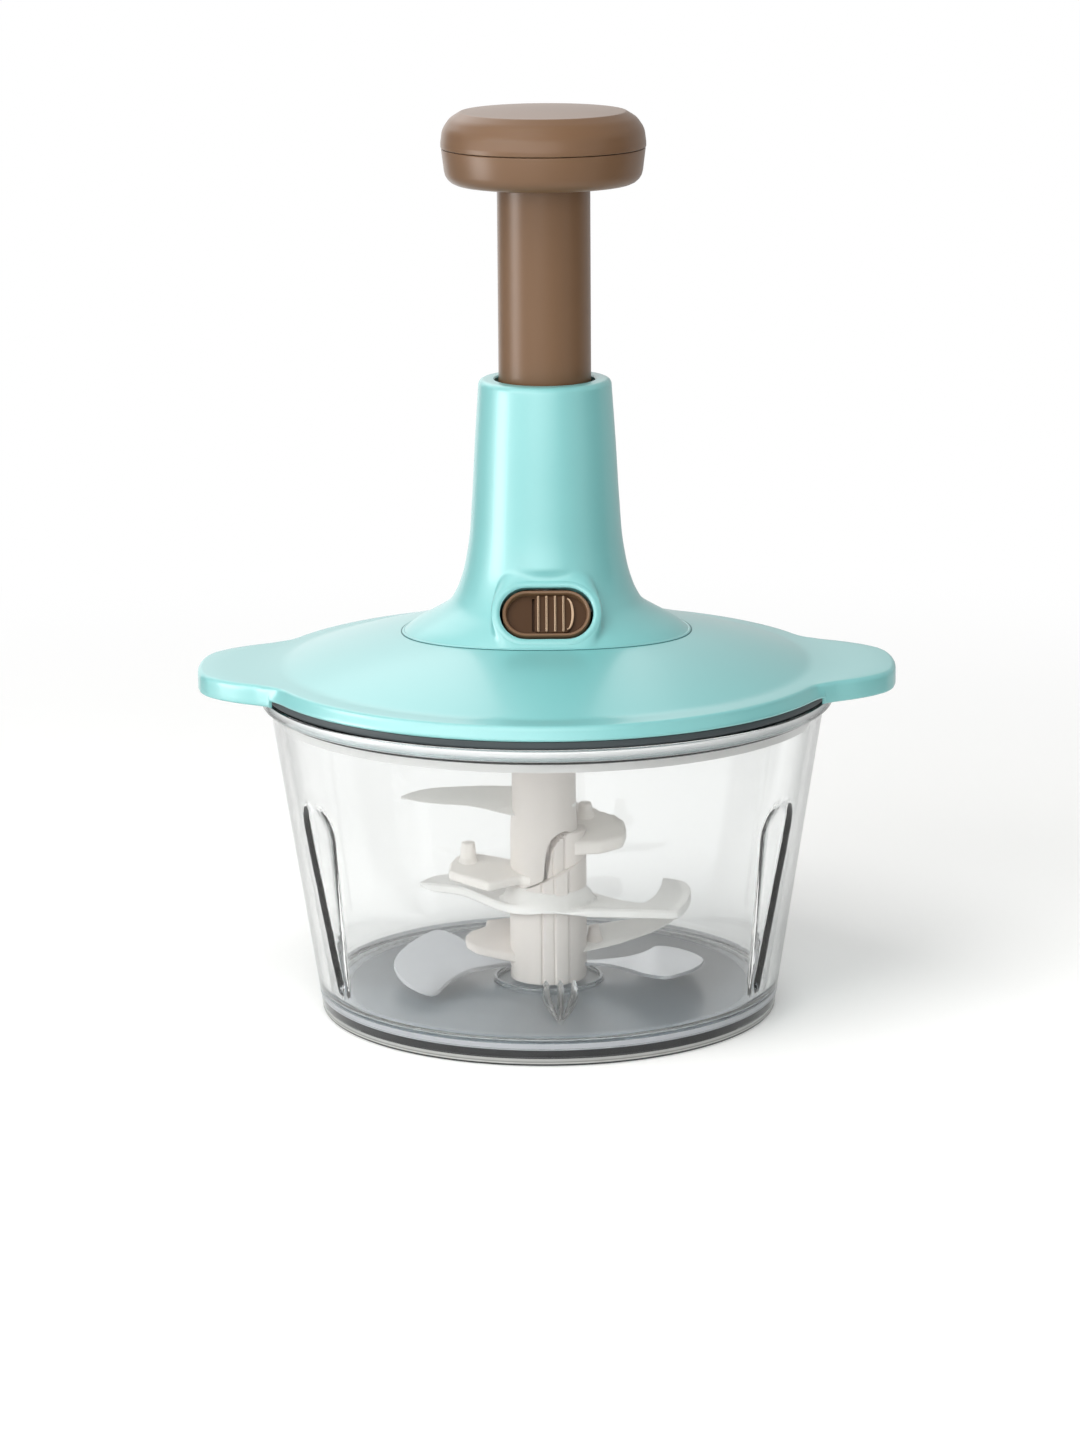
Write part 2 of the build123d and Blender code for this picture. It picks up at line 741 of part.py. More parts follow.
with BuildPart() as lid_shell:
    with BuildSketch(Plane.XZ):
        with BuildLine():
            ThreePointArc(
                (0, dome_top),
                (dome_edge_radius / 2, dome_height(dome_edge_radius / 2)),
                (dome_edge_radius, dome_edge_height),
            )
            Polyline(
                (dome_edge_radius, dome_edge_height),
                (rim_top_radius, rim_top),
                (rim_radius, rim_bottom),
                (rim_inner_radius, rim_bottom),
                (rim_inner_radius, seal_seat_height),
                (skirt_outer_radius, seal_seat_height),
                (skirt_outer_radius, lid_skirt_bottom),
                (skirt_inner_radius, lid_skirt_bottom),
                (skirt_inner_radius, dome_height(skirt_inner_radius) - lid_wall),
            )
            ThreePointArc(
                (skirt_inner_radius, dome_height(skirt_inner_radius) - lid_wall),
                (skirt_inner_radius / 2, dome_height(skirt_inner_radius / 2) - lid_wall),
                (0, dome_top - lid_wall),
            )
            Line((0, dome_top - lid_wall), (0, dome_top))
        make_face()
    revolve(axis=Axis.Z)
    add(ears.part)
    oval(
        tower_half_x + collar_room,
        tower_half_y + collar_room,
        tower_seat_height - ledge,
        dome_height(tower_half_x + collar_room) - lid_wall / 2,
    )
    oval(tower_half_x + seat_gap, tower_half_y + seat_gap, tower_seat_height, dome_top, Mode.SUBTRACT)
    oval(tower_half_x - ledge, tower_half_y - ledge, 0, dome_top, Mode.SUBTRACT)
finish(lid_shell, "lid_shell")

# Tower: an oval foot that sweeps up into a slim round neck. Each foot row is a height and two half
# widths, and each neck row a radius and a height, as parts of the tower's height and widths.
tower_waist_radius = tower_top_radius * 1.368
tower_foot = [
    (tower_seat_height + tower_height * up, tower_half_x * wide, tower_half_y * deep)
    for up, wide, deep in (
        (0.0508, 1.0, 1.0), (0.0799, 0.932, 0.956), (0.1138, 0.814, 0.9), (0.1525, 0.695, 0.828)
    )
] + [(tower_seat_height + tower_height * 0.2, tower_waist_radius, tower_waist_radius)]
tower_neck = [
    (tower_top_radius * wide, tower_seat_height + tower_height * up)
    for wide, up in ((1.368, 0.2), (1.279, 0.2542), (1.176, 0.368), (1.108, 0.5569), (1.064, 0.7458))
]
mouth_blend = 1.6
boss_top_height = lock_height - run_gap
sleeve_bottom = tower_top - mouth_thick - sleeve_length


def tower_foot_loft(shrink, straight):
    """Filled oval foot, smaller all round by the wall where it is the room inside."""
    with BuildPart() as form:
        oval(
            tower_half_x - shrink, tower_half_y - shrink, tower_seat_height, tower_foot[0][0]
        )
        for height, half_x, half_y in tower_foot:
            with BuildSketch(Plane.XY.offset(height)):
                Ellipse(half_x - shrink, half_y - shrink)
        loft(ruled=straight)
    return form.part


button_plane = Plane(
    origin=(0, -button_depth, button_height),
    x_dir=(1, 0, 0),
    z_dir=(0, -cos(radians(button_lean)), sin(radians(button_lean))),
)

with BuildPart() as tower_room:
    add(tower_foot_loft(tower_wall, True))
    turned(
        [(0, tower_neck[0][1])]
        + [(radius - tower_wall, height) for radius, height in tower_neck[:-1]]
        + [(sleeve_radius, sleeve_bottom), (0, sleeve_bottom)]
    )
    posts(tower_boss_radius, tower_screw_circle, 4, 45, tower_seat_height, boss_top_height, Mode.SUBTRACT)
    with BuildSketch(button_plane):
        SlotOverall(button_width + 2 * tower_wall, button_tall + 2 * tower_wall)
    extrude(amount=-tray_depth - tower_wall / 2, both=True, mode=Mode.SUBTRACT)

with BuildPart() as tower_shell:
    add(tower_foot_loft(0, False))
    with BuildSketch(Plane.XZ):
        with BuildLine():
            Spline(*tower_neck, (tower_top_radius, tower_top - mouth_blend))
            Polyline(
                (tower_top_radius, tower_top - mouth_blend),
                (tower_top_radius - mouth_blend, tower_top),
                (0, tower_top),
                (0, tower_neck[0][1]),
                tower_neck[0],
            )
        make_face()
    revolve(axis=Axis.Z)
    with BuildSketch(button_plane):
        SlotOverall(button_width + 2 * tower_wall + 1, button_tall + 2 * tower_wall + 1)
    extrude(amount=-2 * tray_depth)
    add(tower_room.part, mode=Mode.SUBTRACT)
    posts(tower_boss_radius, tower_screw_circle, 4, 45, flange_seat, boss_top_height)
    posts(screw_radius, tower_screw_circle, 4, 45, flange_seat, tower_seat_height, Mode.SUBTRACT)
    ring(sleeve_radius, 0, sleeve_bottom, tower_top - mouth_thick, mode=Mode.SUBTRACT)
    ring(mouth_radius, 0, tower_top - mouth_thick, tower_top, mode=Mode.SUBTRACT)
    with BuildSketch(button_plane):
        SlotOverall(button_width, button_tall)
    extrude(amount=-3 * tray_depth, mode=Mode.SUBTRACT)
    ring(tube_radius + run_gap, 0, tower_seat_height, tower_top, mode=Mode.SUBTRACT)
finish(tower_shell, "tower_shell")

with BuildPart() as guide_sleeve:
    ring(sleeve_radius, tube_radius + run_gap, sleeve_bottom, tower_top - mouth_thick)
finish(guide_sleeve, "guide_sleeve")

with BuildPart() as lid_screws:
    posts(
        screw_head_radius, tower_screw_circle, 4, 45, plate_bottom - screw_head_thick, plate_bottom
    )
    posts(screw_radius, tower_screw_circle, 4, 45, plate_bottom, tower_seat_height)
finish(lid_screws, "lid_screws")

# Lock: a slider on the tower's front moves a plate whose tongue enters the plunger's side window

slider_height = 11.6
slider_slot_height = 4.6
stem_width = 5.0
stem_tall = 2.6
tray_floor = 1.4
button_recess = 1.0
ridge_spacing = 2.4
ridge_count = 4
ridge_width = 0.8
ridge_rise = 0.6
tongue_tip = column_radius + lock_travel + 0.5
plate_room = tower_foot[-1][1] - tower_wall - 0.8

with BuildPart() as lock_frame:
    with BuildSketch(button_plane):
        SlotOverall(button_width - 2 * seat_gap, button_tall - 2 * seat_gap)
    extrude(amount=-tray_depth)
    with BuildSketch(button_plane):
        SlotOverall(button_width - 2 * button_rim, button_tall - 2 * button_rim)
    extrude(amount=tray_floor - tray_depth, mode=Mode.SUBTRACT)
    with BuildSketch(button_plane):
        with Locations(((pad_left + pad_right) / 2 - lock_travel / 2, 0)):
            Rectangle(stem_width + lock_travel + 2 * run_gap, slider_slot_height)
    extrude(amount=-tray_depth, mode=Mode.SUBTRACT)
finish(lock_frame, "lock_frame")

stem_centre = (pad_left + pad_right) / 2

with BuildPart() as lock_button:
    with BuildSketch(button_plane.offset(tray_floor - tray_depth + seat_gap)):
        with Locations((stem_centre, 0)):
            SlotOverall(pad_right - pad_left, slider_height)
    extrude(amount=tray_depth - tray_floor - seat_gap + button_recess)
    with BuildSketch(button_plane.offset(button_recess)):
        with Locations((stem_centre, 0)):
            with GridLocations(ridge_spacing, 0, ridge_count, 1):
                Rectangle(ridge_width, slider_height - ridge_spacing)
    extrude(amount=ridge_rise)
    with BuildSketch(button_plane.offset(tray_floor - tray_depth + seat_gap)):
        with Locations((stem_centre, 0)):
            Rectangle(stem_width, stem_tall)
    extrude(amount=-tray_floor - 2 * seat_gap)
finish(lock_button, "lock_button")

with BuildPart() as lock_plate:
    with BuildSketch(Plane.XY.offset(lock_height)):
        Circle(plate_room)
        with Locations((lock_travel, 0)):
            Circle(plate_room, mode=Mode.INTERSECT)
        with Locations((lock_travel / 2, 0)):
            SlotOverall(
                2 * (tube_radius + run_gap) + lock_travel,
                2 * (tube_radius + run_gap),
                mode=Mode.SUBTRACT,
            )
        with Locations((-tube_radius, tube_radius)):
            Rectangle(2 * tube_radius + 2, 4 * tube_radius, mode=Mode.SUBTRACT)
        with Locations((tube_radius, tube_radius + lock_tongue_width)):
            Rectangle(2 * tube_radius, 2 * tube_radius, mode=Mode.SUBTRACT)
        with Locations(((tongue_tip + plate_room - run_gap) / 2, 0)):
            Rectangle(plate_room - run_gap - tongue_tip, lock_tongue_width)
    extrude(amount=lock_thick)
finish(lock_plate, "lock_plate")

# Plunger body

groove_room = column_rib_reach + run_gap
window_room = run_gap + 0.1

with BuildPart() as plunger_tube:
    ring(tube_radius, 0, tube_bottom, web_top)
    ring(tube_flange_radius, 0, web_top, keeper_bottom)
    ring(tube_inner_radius, 0, tube_bottom, web_bottom, mode=Mode.SUBTRACT)
    with BuildSketch(Plane.XY.offset(tube_bottom)):
        Rectangle(column_rib_width + 2 * run_gap, 2 * (column_radius + groove_room))
    extrude(amount=stroke + column_top - tube_bottom + lead, mode=Mode.SUBTRACT)
    ring(bar_corner + seat_gap, 0, web_bottom, web_top, mode=Mode.SUBTRACT)
    with BuildSketch(Plane.XY.offset(web_top)):
        RegularPolygon(head_across / 2, 6, major_radius=False)
    extrude(amount=tube_flange_thick, mode=Mode.SUBTRACT)
    with BuildSketch(Plane.YZ):
        with Locations((0, lock_height + lock_thick / 2 + stroke)):
            Rectangle(lock_tongue_width + 2 * window_room, lock_thick + 2 * window_room)
    extrude(amount=tube_radius + 1, mode=Mode.SUBTRACT)
    posts(
        knob_screw_radius + seat_gap, knob_screw_circle, 3, 90, web_top, keeper_bottom, Mode.SUBTRACT
    )
finish(plunger_tube, "plunger_tube")

with BuildPart() as screw_keeper:
    ring(tube_flange_radius, 0, keeper_bottom, keeper_bottom + keeper_thick)
    posts(
        knob_screw_radius + seat_gap,
        knob_screw_circle,
        3,
        90,
        keeper_bottom,
        keeper_bottom + keeper_thick,
        Mode.SUBTRACT,
    )
finish(screw_keeper, "screw_keeper")

knob_screw_depth = 2.2
knob_edge_round = 4.0

with BuildPart() as knob_base:
    turned(
        [
            (tube_radius + seat_gap, knob_bottom),
            (knob_bottom_radius, knob_bottom),
            (knob_radius, knob_seam),
            (knob_bore_radius, knob_seam),
            (knob_bore_radius, web_top),
            (tube_radius + seat_gap, web_top),
        ]
    )
    fillet(knob_base.edges().group_by(Axis.Z)[0].sort_by(SortBy.LENGTH)[-1], knob_edge_round)
    posts(
        knob_screw_radius, knob_screw_circle, 3, 90, web_top - knob_screw_depth, web_top, Mode.SUBTRACT
    )
finish(knob_base, "knob_base")

cap_side = 1.5
cap_shoulder = knob_seam + 7.2
cap_shoulder_radius = knob_radius - 1.7
crown_radius = knob_radius - 5.9
crown_sag = 1.2
spigot_depth = 3.0
crown_ball = (crown_radius**2 + crown_sag**2) / (2 * crown_sag)


def crown_height(radius):
    """Height of the shallow dome on top of the knob at a radius."""
    return knob_top - crown_ball + sqrt(crown_ball**2 - radius**2)


with BuildPart() as knob_cap:
    with BuildSketch(Plane.XZ):
        with BuildLine():
            Polyline(
                (0, knob_top),
                (0, knob_seam + knob_wall),
                (knob_bore_radius - knob_wall, knob_seam + knob_wall),
                (knob_bore_radius - knob_wall, knob_seam - spigot_depth),
                (knob_bore_radius - seat_gap, knob_seam - spigot_depth),
                (knob_bore_radius - seat_gap, knob_seam),
                (knob_radius, knob_seam),
                (knob_radius, knob_seam + cap_side),
            )
            ThreePointArc(
                (knob_radius, knob_seam + cap_side),
                (cap_shoulder_radius, cap_shoulder),
                (crown_radius, crown_height(crown_radius)),
            )
            ThreePointArc(
                (crown_radius, crown_height(crown_radius)),
                (crown_radius / 2, crown_height(crown_radius / 2)),
                (0, knob_top),
            )
        make_face()
    revolve(axis=Axis.Z)
finish(knob_cap, "knob_cap")

with BuildPart() as knob_screws:
    posts(
        knob_screw_radius,
        knob_screw_circle,
        3,
        90,
        web_top - knob_screw_depth,
        keeper_bottom + keeper_thick,
    )
    posts(
        2 * knob_screw_radius,
        knob_screw_circle,
        3,
        90,
        keeper_bottom + keeper_thick,
        keeper_bottom + keeper_thick + screw_head_thick,
    )
finish(knob_screws, "knob_screws")

print("turns in one stroke", stroke / lead)
print("turn per metre of press, radians", round(2 * pi / lead * 1000, 4))
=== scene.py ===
import math

import bmesh
import bpy
import numpy as np
from mathutils import Matrix, Vector


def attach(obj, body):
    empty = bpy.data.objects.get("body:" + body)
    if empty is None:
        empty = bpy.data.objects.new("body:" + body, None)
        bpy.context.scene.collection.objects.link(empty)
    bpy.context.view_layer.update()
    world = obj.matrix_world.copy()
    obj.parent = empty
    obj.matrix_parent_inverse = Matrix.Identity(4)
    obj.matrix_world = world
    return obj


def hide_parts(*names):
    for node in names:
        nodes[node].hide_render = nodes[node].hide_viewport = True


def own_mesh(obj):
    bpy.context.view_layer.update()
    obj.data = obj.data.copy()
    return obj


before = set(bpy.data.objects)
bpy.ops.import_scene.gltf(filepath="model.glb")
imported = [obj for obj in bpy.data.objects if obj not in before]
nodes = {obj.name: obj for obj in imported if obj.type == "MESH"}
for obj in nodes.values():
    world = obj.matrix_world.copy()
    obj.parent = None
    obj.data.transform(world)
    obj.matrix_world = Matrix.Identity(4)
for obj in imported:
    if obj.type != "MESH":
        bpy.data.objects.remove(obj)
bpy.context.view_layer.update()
print("frame loaded:", len(nodes), "CAD pieces")

# A press-top food chopper: a clear bowl, a blade tower, a domed lid with two finger ears and a plunger with a
# round knob. Sizes in the dictionaries are millimetres, z up, front towards -y, and makePiece turns them to
# metres.

# Camera and room
photoView = {"place": (-0.0022, -1.3917, 0.41477), "lookDown": 13.12, "roll": -0.40, "lens": 115.0}
cameraData = bpy.data.cameras.new("photoCamera")
cameraData.sensor_fit = "VERTICAL"
cameraData.sensor_height = 36.0
cameraData.lens = photoView["lens"]
camera = bpy.data.objects.new("photoCamera", cameraData)
camera.location = photoView["place"]
camera.rotation_euler = (
    Matrix.Rotation(math.radians(90 - photoView["lookDown"]), 3, "X")
    @ Matrix.Rotation(math.radians(photoView["roll"]), 3, "Z")
).to_euler()
bpy.context.scene.collection.objects.link(camera)
bpy.context.scene.camera = camera
bpy.context.scene.view_settings.view_transform = "Standard"

# Lamps: power in watts, azimuth left of the front and height angle in degrees, distance and size in metres,
# and whether the lamp gives soft light and gloss. A lamp for gloss alone lights only the first bounces of a
# ray, up to glossDepth, and only a lamp higher than throughFrom is seen through clear plastic. Flags: angle
# from the front and half width in degrees, and how much of the level is left. Spans and heights are metres.
room = {
    "floorColour": "#f6f6f4", "floorRoughness": 0.7, "floorSpan": 9.0, "fadeFrom": 0.22, "fadeTo": 0.70,
    "floorLift": 0.13, "skyColour": "#ffffff", "skyOnObject": 0.46,
    "glossLeft": 1.4, "glossRight": 0.60, "glossTurn": 0.25, "glossDepth": 2.5,
    "flags": ((87, 16, 0.12), (-120, 20, 0.3)), "flagBlend": (0.04, 0.01),
    "aimHeight": 0.13, "throughFrom": 15,
    "lamps": {
        "keySoftbox": (10.5, 42, 21, 1.55, (1.1, 0.6), True, False),
        "keyGloss": (5.0, 50, 21, 1.55, (1.1, 0.6), False, True),
        "leftStrip": (1.4, 76, 0, 0.62, (0.24, 0.26), False, True),
        "frontFill": (4.5, 12, 8, 1.4, (1.2, 0.7), True, False),
        "frontGloss": (5.0, 4, 14, 1.4, (1.2, 0.7), False, True),
        "topSoftbox": (11.5, 35, 60, 1.5, (0.9, 0.9), True, False),
        "topGloss": (4.5, 35, 60, 1.5, (0.9, 0.9), False, True),
        "rightFill": (3.2, -58, 14, 1.5, (1.0, 0.8), True, False),
        "backGloss": (4.0, 160, 42, 1.5, (1.4, 0.9), False, True),
    },
}


# sRGB hex to linear: v / 12.92 up to 0.04045, and ((v + 0.055) / 1.055) to the power 2.4 above.
def linear(hexColour):
    v = np.array([int(hexColour[i : i + 2], 16) for i in (1, 3, 5)]) / 255
    return (*np.where(v <= 0.04045, v / 12.92, ((v + 0.055) / 1.055) ** 2.4).tolist(), 1.0)


# One node: its own settings, then its inputs, where a socket is linked and anything else is a fixed value.
def addNode(tree, kind, settings=None, inputs=None):
    node = tree.nodes.new(kind)
    for key, value in (settings or {}).items():
        setattr(node, key, value)
    for key, value in (inputs or {}).items():
        if isinstance(value, bpy.types.NodeSocket):
            tree.links.new(value, node.inputs[key])
        else:
            node.inputs[key].default_value = value
    return node


def addLamp(name, power, left, up, distance, size, soft, gloss):
    lampData = bpy.data.lights.new(name, "AREA")
    lampData.shape = "RECTANGLE"
    lampData.size, lampData.size_y = size
    lampData.energy = power
    if not soft:
        lampData.use_nodes = True
        tree = lampData.node_tree
        tree.nodes.clear()
        depth = addNode(tree, "ShaderNodeLightPath").outputs["Ray Depth"]
        first = addNode(
            tree, "ShaderNodeMapRange", {},
            {
                "Value": depth, "From Min": room["glossDepth"] - 0.1, "From Max": room["glossDepth"] + 0.1,
                "To Min": 1.0, "To Max": 0.0,
            },
        )
        glow = addNode(tree, "ShaderNodeEmission", {}, {"Strength": first.outputs[0]})
        addNode(tree, "ShaderNodeOutputLight", {}, {"Surface": glow.outputs[0]})
    lamp = bpy.data.objects.new(name, lampData)
    a, e = math.radians(left), math.radians(up)
    aim = Vector((-math.sin(a) * math.cos(e), -math.cos(a) * math.cos(e), math.sin(e)))
    lamp.location = Vector((0, 0, room["aimHeight"])) + distance * aim
    lamp.rotation_euler = aim.to_track_quat("Z", "Y").to_euler()
    lamp.visible_camera, lamp.visible_diffuse, lamp.visible_glossy = False, soft, gloss
    lamp.visible_transmission = up > room["throughFrom"]
    bpy.context.scene.collection.objects.link(lamp)


for name, (power, left, up, distance, size, soft, gloss) in room["lamps"].items():
    addLamp(name, power, left, up, distance, size, soft, gloss)


# What gloss sees of the room in a direction: brighter towards the left, dimmer towards the right, with grey
# flags that stand upright at an angle from the front, right side positive.
def glossRoom(tree, direction):
    parts = addNode(tree, "ShaderNodeSeparateXYZ", {}, {0: direction}).outputs
    level = addNode(
        tree, "ShaderNodeMapRange", {"interpolation_type": "SMOOTHSTEP"},
        {
            "Value": parts["X"], "From Min": -room["glossTurn"], "From Max": room["glossTurn"],
            "To Min": room["glossLeft"], "To Max": room["glossRight"],
        },
    ).outputs[0]
    before, after = room["flagBlend"]
    for angle, halfWidth, shade in room["flags"]:
        a, edge = math.radians(angle), math.cos(math.radians(halfWidth))
        towards = addNode(
            tree, "ShaderNodeVectorMath", {"operation": "DOT_PRODUCT"},
            {0: direction, 1: (math.sin(a), -math.cos(a), 0.0)},
        )
        band = addNode(
            tree, "ShaderNodeMapRange", {"interpolation_type": "SMOOTHSTEP"},
            {
                "Value": towards.outputs["Value"], "From Min": edge - before, "From Max": edge + after,
                "To Min": 1.0, "To Max": shade,
            },
        )
        level = addNode(
            tree, "ShaderNodeMath", {"operation": "MULTIPLY"}, {0: level, 1: band.outputs[0]}
        ).outputs[0]
    return level


# Level by kind of ray: the first value is for soft light, then what clear plastic, gloss and the camera see.
def levelByRay(tree, soft, through, gloss, seen):
    rays = addNode(tree, "ShaderNodeLightPath").outputs
    level = soft
    for ray, value in (("Is Transmission Ray", through), ("Is Glossy Ray", gloss), ("Is Camera Ray", seen)):
        level = addNode(
            tree, "ShaderNodeMapRange", {}, {"Value": rays[ray], "To Min": level, "To Max": value}
        ).outputs[0]
    return level


sky = bpy.data.worlds.new("paleRoom")
sky.use_nodes = True
sky.node_tree.nodes.clear()
direction = addNode(sky.node_tree, "ShaderNodeTexCoord").outputs["Generated"]
skyLevel = levelByRay(sky.node_tree, room["skyOnObject"], 1.0, glossRoom(sky.node_tree, direction), 1.0)
skyLight = addNode(
    sky.node_tree, "ShaderNodeBackground", {}, {"Color": linear(room["skyColour"]), "Strength": skyLevel}
)
addNode(sky.node_tree, "ShaderNodeOutputWorld", {}, {"Surface": skyLight.outputs[0]})
bpy.context.scene.world = sky
print("camera and lamps placed")


# Mesh helpers

# Surface turned about z: x = r cos a, y = r sin a. Radius and height have one row for each profile point,
# and may have a column for each angle.
def ringSurface(radius, height, angles):
    radius, height = np.atleast_1d(radius), np.atleast_1d(height)
    radius = radius[:, None] if radius.ndim == 1 else radius
    height = height[:, None] if height.ndim == 1 else height
    r, z, a = np.broadcast_arrays(radius, height, angles[None, :])
    return np.stack([r * np.cos(a), r * np.sin(a), z], axis=-1)


# Outline with rounded corners. Each corner is (u, v, radius): the arc starts radius / tan(half angle) before
# the corner and turns round a centre at radius / sin(half angle) along the bisector.
def roundCorners(corners, steps=5, closed=True):
    c = np.array(corners, float)
    here, radius = c[:, :2], c[:, 2]
    before, after = np.roll(here, 1, 0) - here, np.roll(here, -1, 0) - here
    if not closed:
        before[0], after[-1] = -after[0], -before[-1]
    lengthBefore, lengthAfter = np.linalg.norm(before, axis=1), np.linalg.norm(after, axis=1)
    before, after = before / lengthBefore[:, None], after / lengthAfter[:, None]
    half = np.arccos(np.clip((before * after).sum(1), -1, 1)) / 2
    flat = (half > math.pi / 2 - 0.01) | (radius <= 0)
    half = np.where(flat, math.pi / 4, half)
    reach = np.minimum(radius / np.tan(half), 0.49 * np.minimum(lengthBefore, lengthAfter))
    radius = reach * np.tan(half)
    middle = before + after
    middle = middle / np.maximum(np.linalg.norm(middle, axis=1), 1e-9)[:, None]
    centre = here + middle * (radius / np.sin(half))[:, None]
    start, end = here + before * reach[:, None] - centre, here + after * reach[:, None] - centre
    turn = math.pi - 2 * half
    s = np.linspace(0, 1, steps)[None, :, None]
    sweep = turn[:, None, None]
    arc = (np.sin((1 - s) * sweep) * start[:, None] + np.sin(s * sweep) * end[:, None]) / np.sin(sweep)
    arc = centre[:, None] + arc
    pieces = [here[i : i + 1] if flat[i] else arc[i] for i in range(len(here))]
    return np.concatenate(pieces)


# Smooth curve through rows of values at rising stations: cubic Hermite pieces whose slope at each station
# comes from its two neighbours.
def smoothThrough(stations, values, at):
    x, y = np.asarray(stations, float), np.asarray(values, float)
    y = y[:, None] if y.ndim == 1 else y
    slope = np.gradient(y, x, axis=0)
    at = np.asarray(at, float)
    i = np.clip(np.searchsorted(x, at, side="right") - 1, 0, len(x) - 2)
    h = (x[i + 1] - x[i])[:, None]
    t = (at - x[i])[:, None] / h
    out = (
        (2 * t**3 - 3 * t**2 + 1) * y[i] + (t**3 - 2 * t**2 + t) * h * slope[i]
        + (3 * t**2 - 2 * t**3) * y[i + 1] + (t**3 - t**2) * h * slope[i + 1]
    )
    return out[:, 0] if out.shape[1] == 1 else out


# 0 below the first edge, 1 above the second, and 3 t^2 - 2 t^3 between.
def easeBetween(low, high, value):
    t = np.clip((value - low) / (high - low), 0, 1)
    return t * t * (3 - 2 * t)


# A grid of points as (points, faces). Each row is a closed ring. The rows may close on themselves too, or
# caps fill the first and the last.
def gridShape(points, closeRows=False, caps=False):
    rows, columns = points.shape[:2]
    r = np.arange(rows if closeRows else rows - 1)[:, None]
    c = np.arange(columns)[None, :]
    nextRow, nextColumn = (r + 1) % rows, (c + 1) % columns
    quads = np.stack(
        [r * columns + c, r * columns + nextColumn, nextRow * columns + nextColumn, nextRow * columns + c], -1
    )
    faces = quads.reshape(-1, 4).tolist()
    if caps:
        faces.append(list(range(columns))[::-1])
        faces.append(list(range((rows - 1) * columns, rows * columns)))
    return points.reshape(-1, 3), faces


# Plate from a flat outline: each row is the outline drawn in along its normals by an inset, at a height. The
# edge inset follows a quarter circle, and the slope lifts the plate along y.
def plateShape(outline, bottom, top, edge, slope=0.0):
    outline = np.asarray(outline, float)
    step = np.roll(outline, -1, 0) - np.roll(outline, 1, 0)
    area = (outline[:, 0] * np.roll(outline[:, 1], -1) - np.roll(outline[:, 0], -1) * outline[:, 1]).sum()
    normal = np.stack([step[:, 1], -step[:, 0]], 1) * np.sign(area)
    normal = normal / np.maximum(np.linalg.norm(normal, axis=1), 1e-9)[:, None]
    q = np.linspace(0, math.pi / 2, 4)
    inset = np.concatenate([edge * (1 - np.sin(q)), edge * (1 - np.cos(q))])
    height = np.concatenate([bottom + edge * (1 - np.cos(q)), top - edge * (1 - np.sin(q))])
    flat = outline[None] - inset[:, None, None] * normal[None]
    z = height[:, None] + slope * flat[..., 1]
    return gridShape(np.concatenate([flat, z[..., None]], -1), caps=True)


# A round bar along a path: at each path point a circle in the plane of the two given side directions.
def barShape(path, sideA, sideB, radius, around):
    a = np.linspace(0, 2 * math.pi, around, endpoint=False)[None, :, None]
    ring = np.cos(a) * sideA[:, None] + np.sin(a) * sideB[:, None]
    return gridShape(path[:, None] + radius * ring, caps=True)


def makeMesh(name, shapes):
    points, faces, start = [], [], 0
    for shapePoints, shapeFaces in shapes:
        points.append(shapePoints)
        faces += [[v + start for v in face] for face in shapeFaces]
        start += len(shapePoints)
    mesh = bpy.data.meshes.new(name)
    mesh.from_pydata((np.concatenate(points) * 0.001).tolist(), [], faces)
    shell = bmesh.new()
    shell.from_mesh(mesh)
    bmesh.ops.remove_doubles(shell, verts=shell.verts, dist=2e-6)
    bmesh.ops.dissolve_degenerate(shell, edges=shell.edges, dist=1e-6)
    bmesh.ops.recalc_face_normals(shell, faces=shell.faces)
    shell.to_mesh(mesh)
    shell.free()
    return mesh


# A finished piece: one mesh of closed shapes in millimetres, less the cutters, and smooth except over edges
# sharper than the angle.
def makePiece(name, shapes, body, material, instead=(), sharpAngle=38, cutters=()):
    piece = bpy.data.objects.new(name, makeMesh(name, shapes))
    bpy.context.scene.collection.objects.link(piece)
    for cutter in cutters:
        tool = bpy.data.objects.new("cutter", makeMesh("cutter", cutter))
        bpy.context.scene.collection.objects.link(tool)
        cut = piece.modifiers.new("cut", "BOOLEAN")
        cut.operation, cut.solver, cut.object = "DIFFERENCE", "EXACT", tool
        bpy.context.view_layer.update()
        result = bpy.data.meshes.new_from_object(piece.evaluated_get(bpy.context.evaluated_depsgraph_get()))
        piece.modifiers.remove(cut)
        piece.data = result
        bpy.data.objects.remove(tool)
    piece.data.name = name
    piece.data.shade_smooth()
    piece.data.set_sharp_from_angle(angle=math.radians(sharpAngle))
    piece.data.materials.clear()
    piece.data.materials.append(material)
    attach(piece, body)
    if instead:
        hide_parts(*instead)
    print("made", name, len(piece.data.polygons), "faces")
    return piece


# Materials

def newMaterial(name):
    material = bpy.data.materials.new(name)
    material.use_nodes = True
    material.node_tree.nodes.clear()
    return material, material.node_tree


# The two ends of a blend in millimetres, as the inputs of a Map Range node that reads metres.
def blendEnds(ends):
    return {"From Min": ends[0] / 1000, "From Max": ends[1] / 1000}


# Colour that changes at a row of edges along a value: each edge is a short straight blend to the next colour.
def bandedColour(tree, value, first, bands, blend):
    colour = first
    for edge, hexColour in bands:
        ends = blendEnds((edge - blend, edge + blend))
        step = addNode(tree, "ShaderNodeMapRange", {}, {"Value": value, **ends})
        colour = addNode(
            tree, "ShaderNodeMix", {"data_type": "RGBA"},
            {"Factor": step.outputs[0], 6: colour, 7: linear(hexColour)},
        ).outputs[2]
    return colour


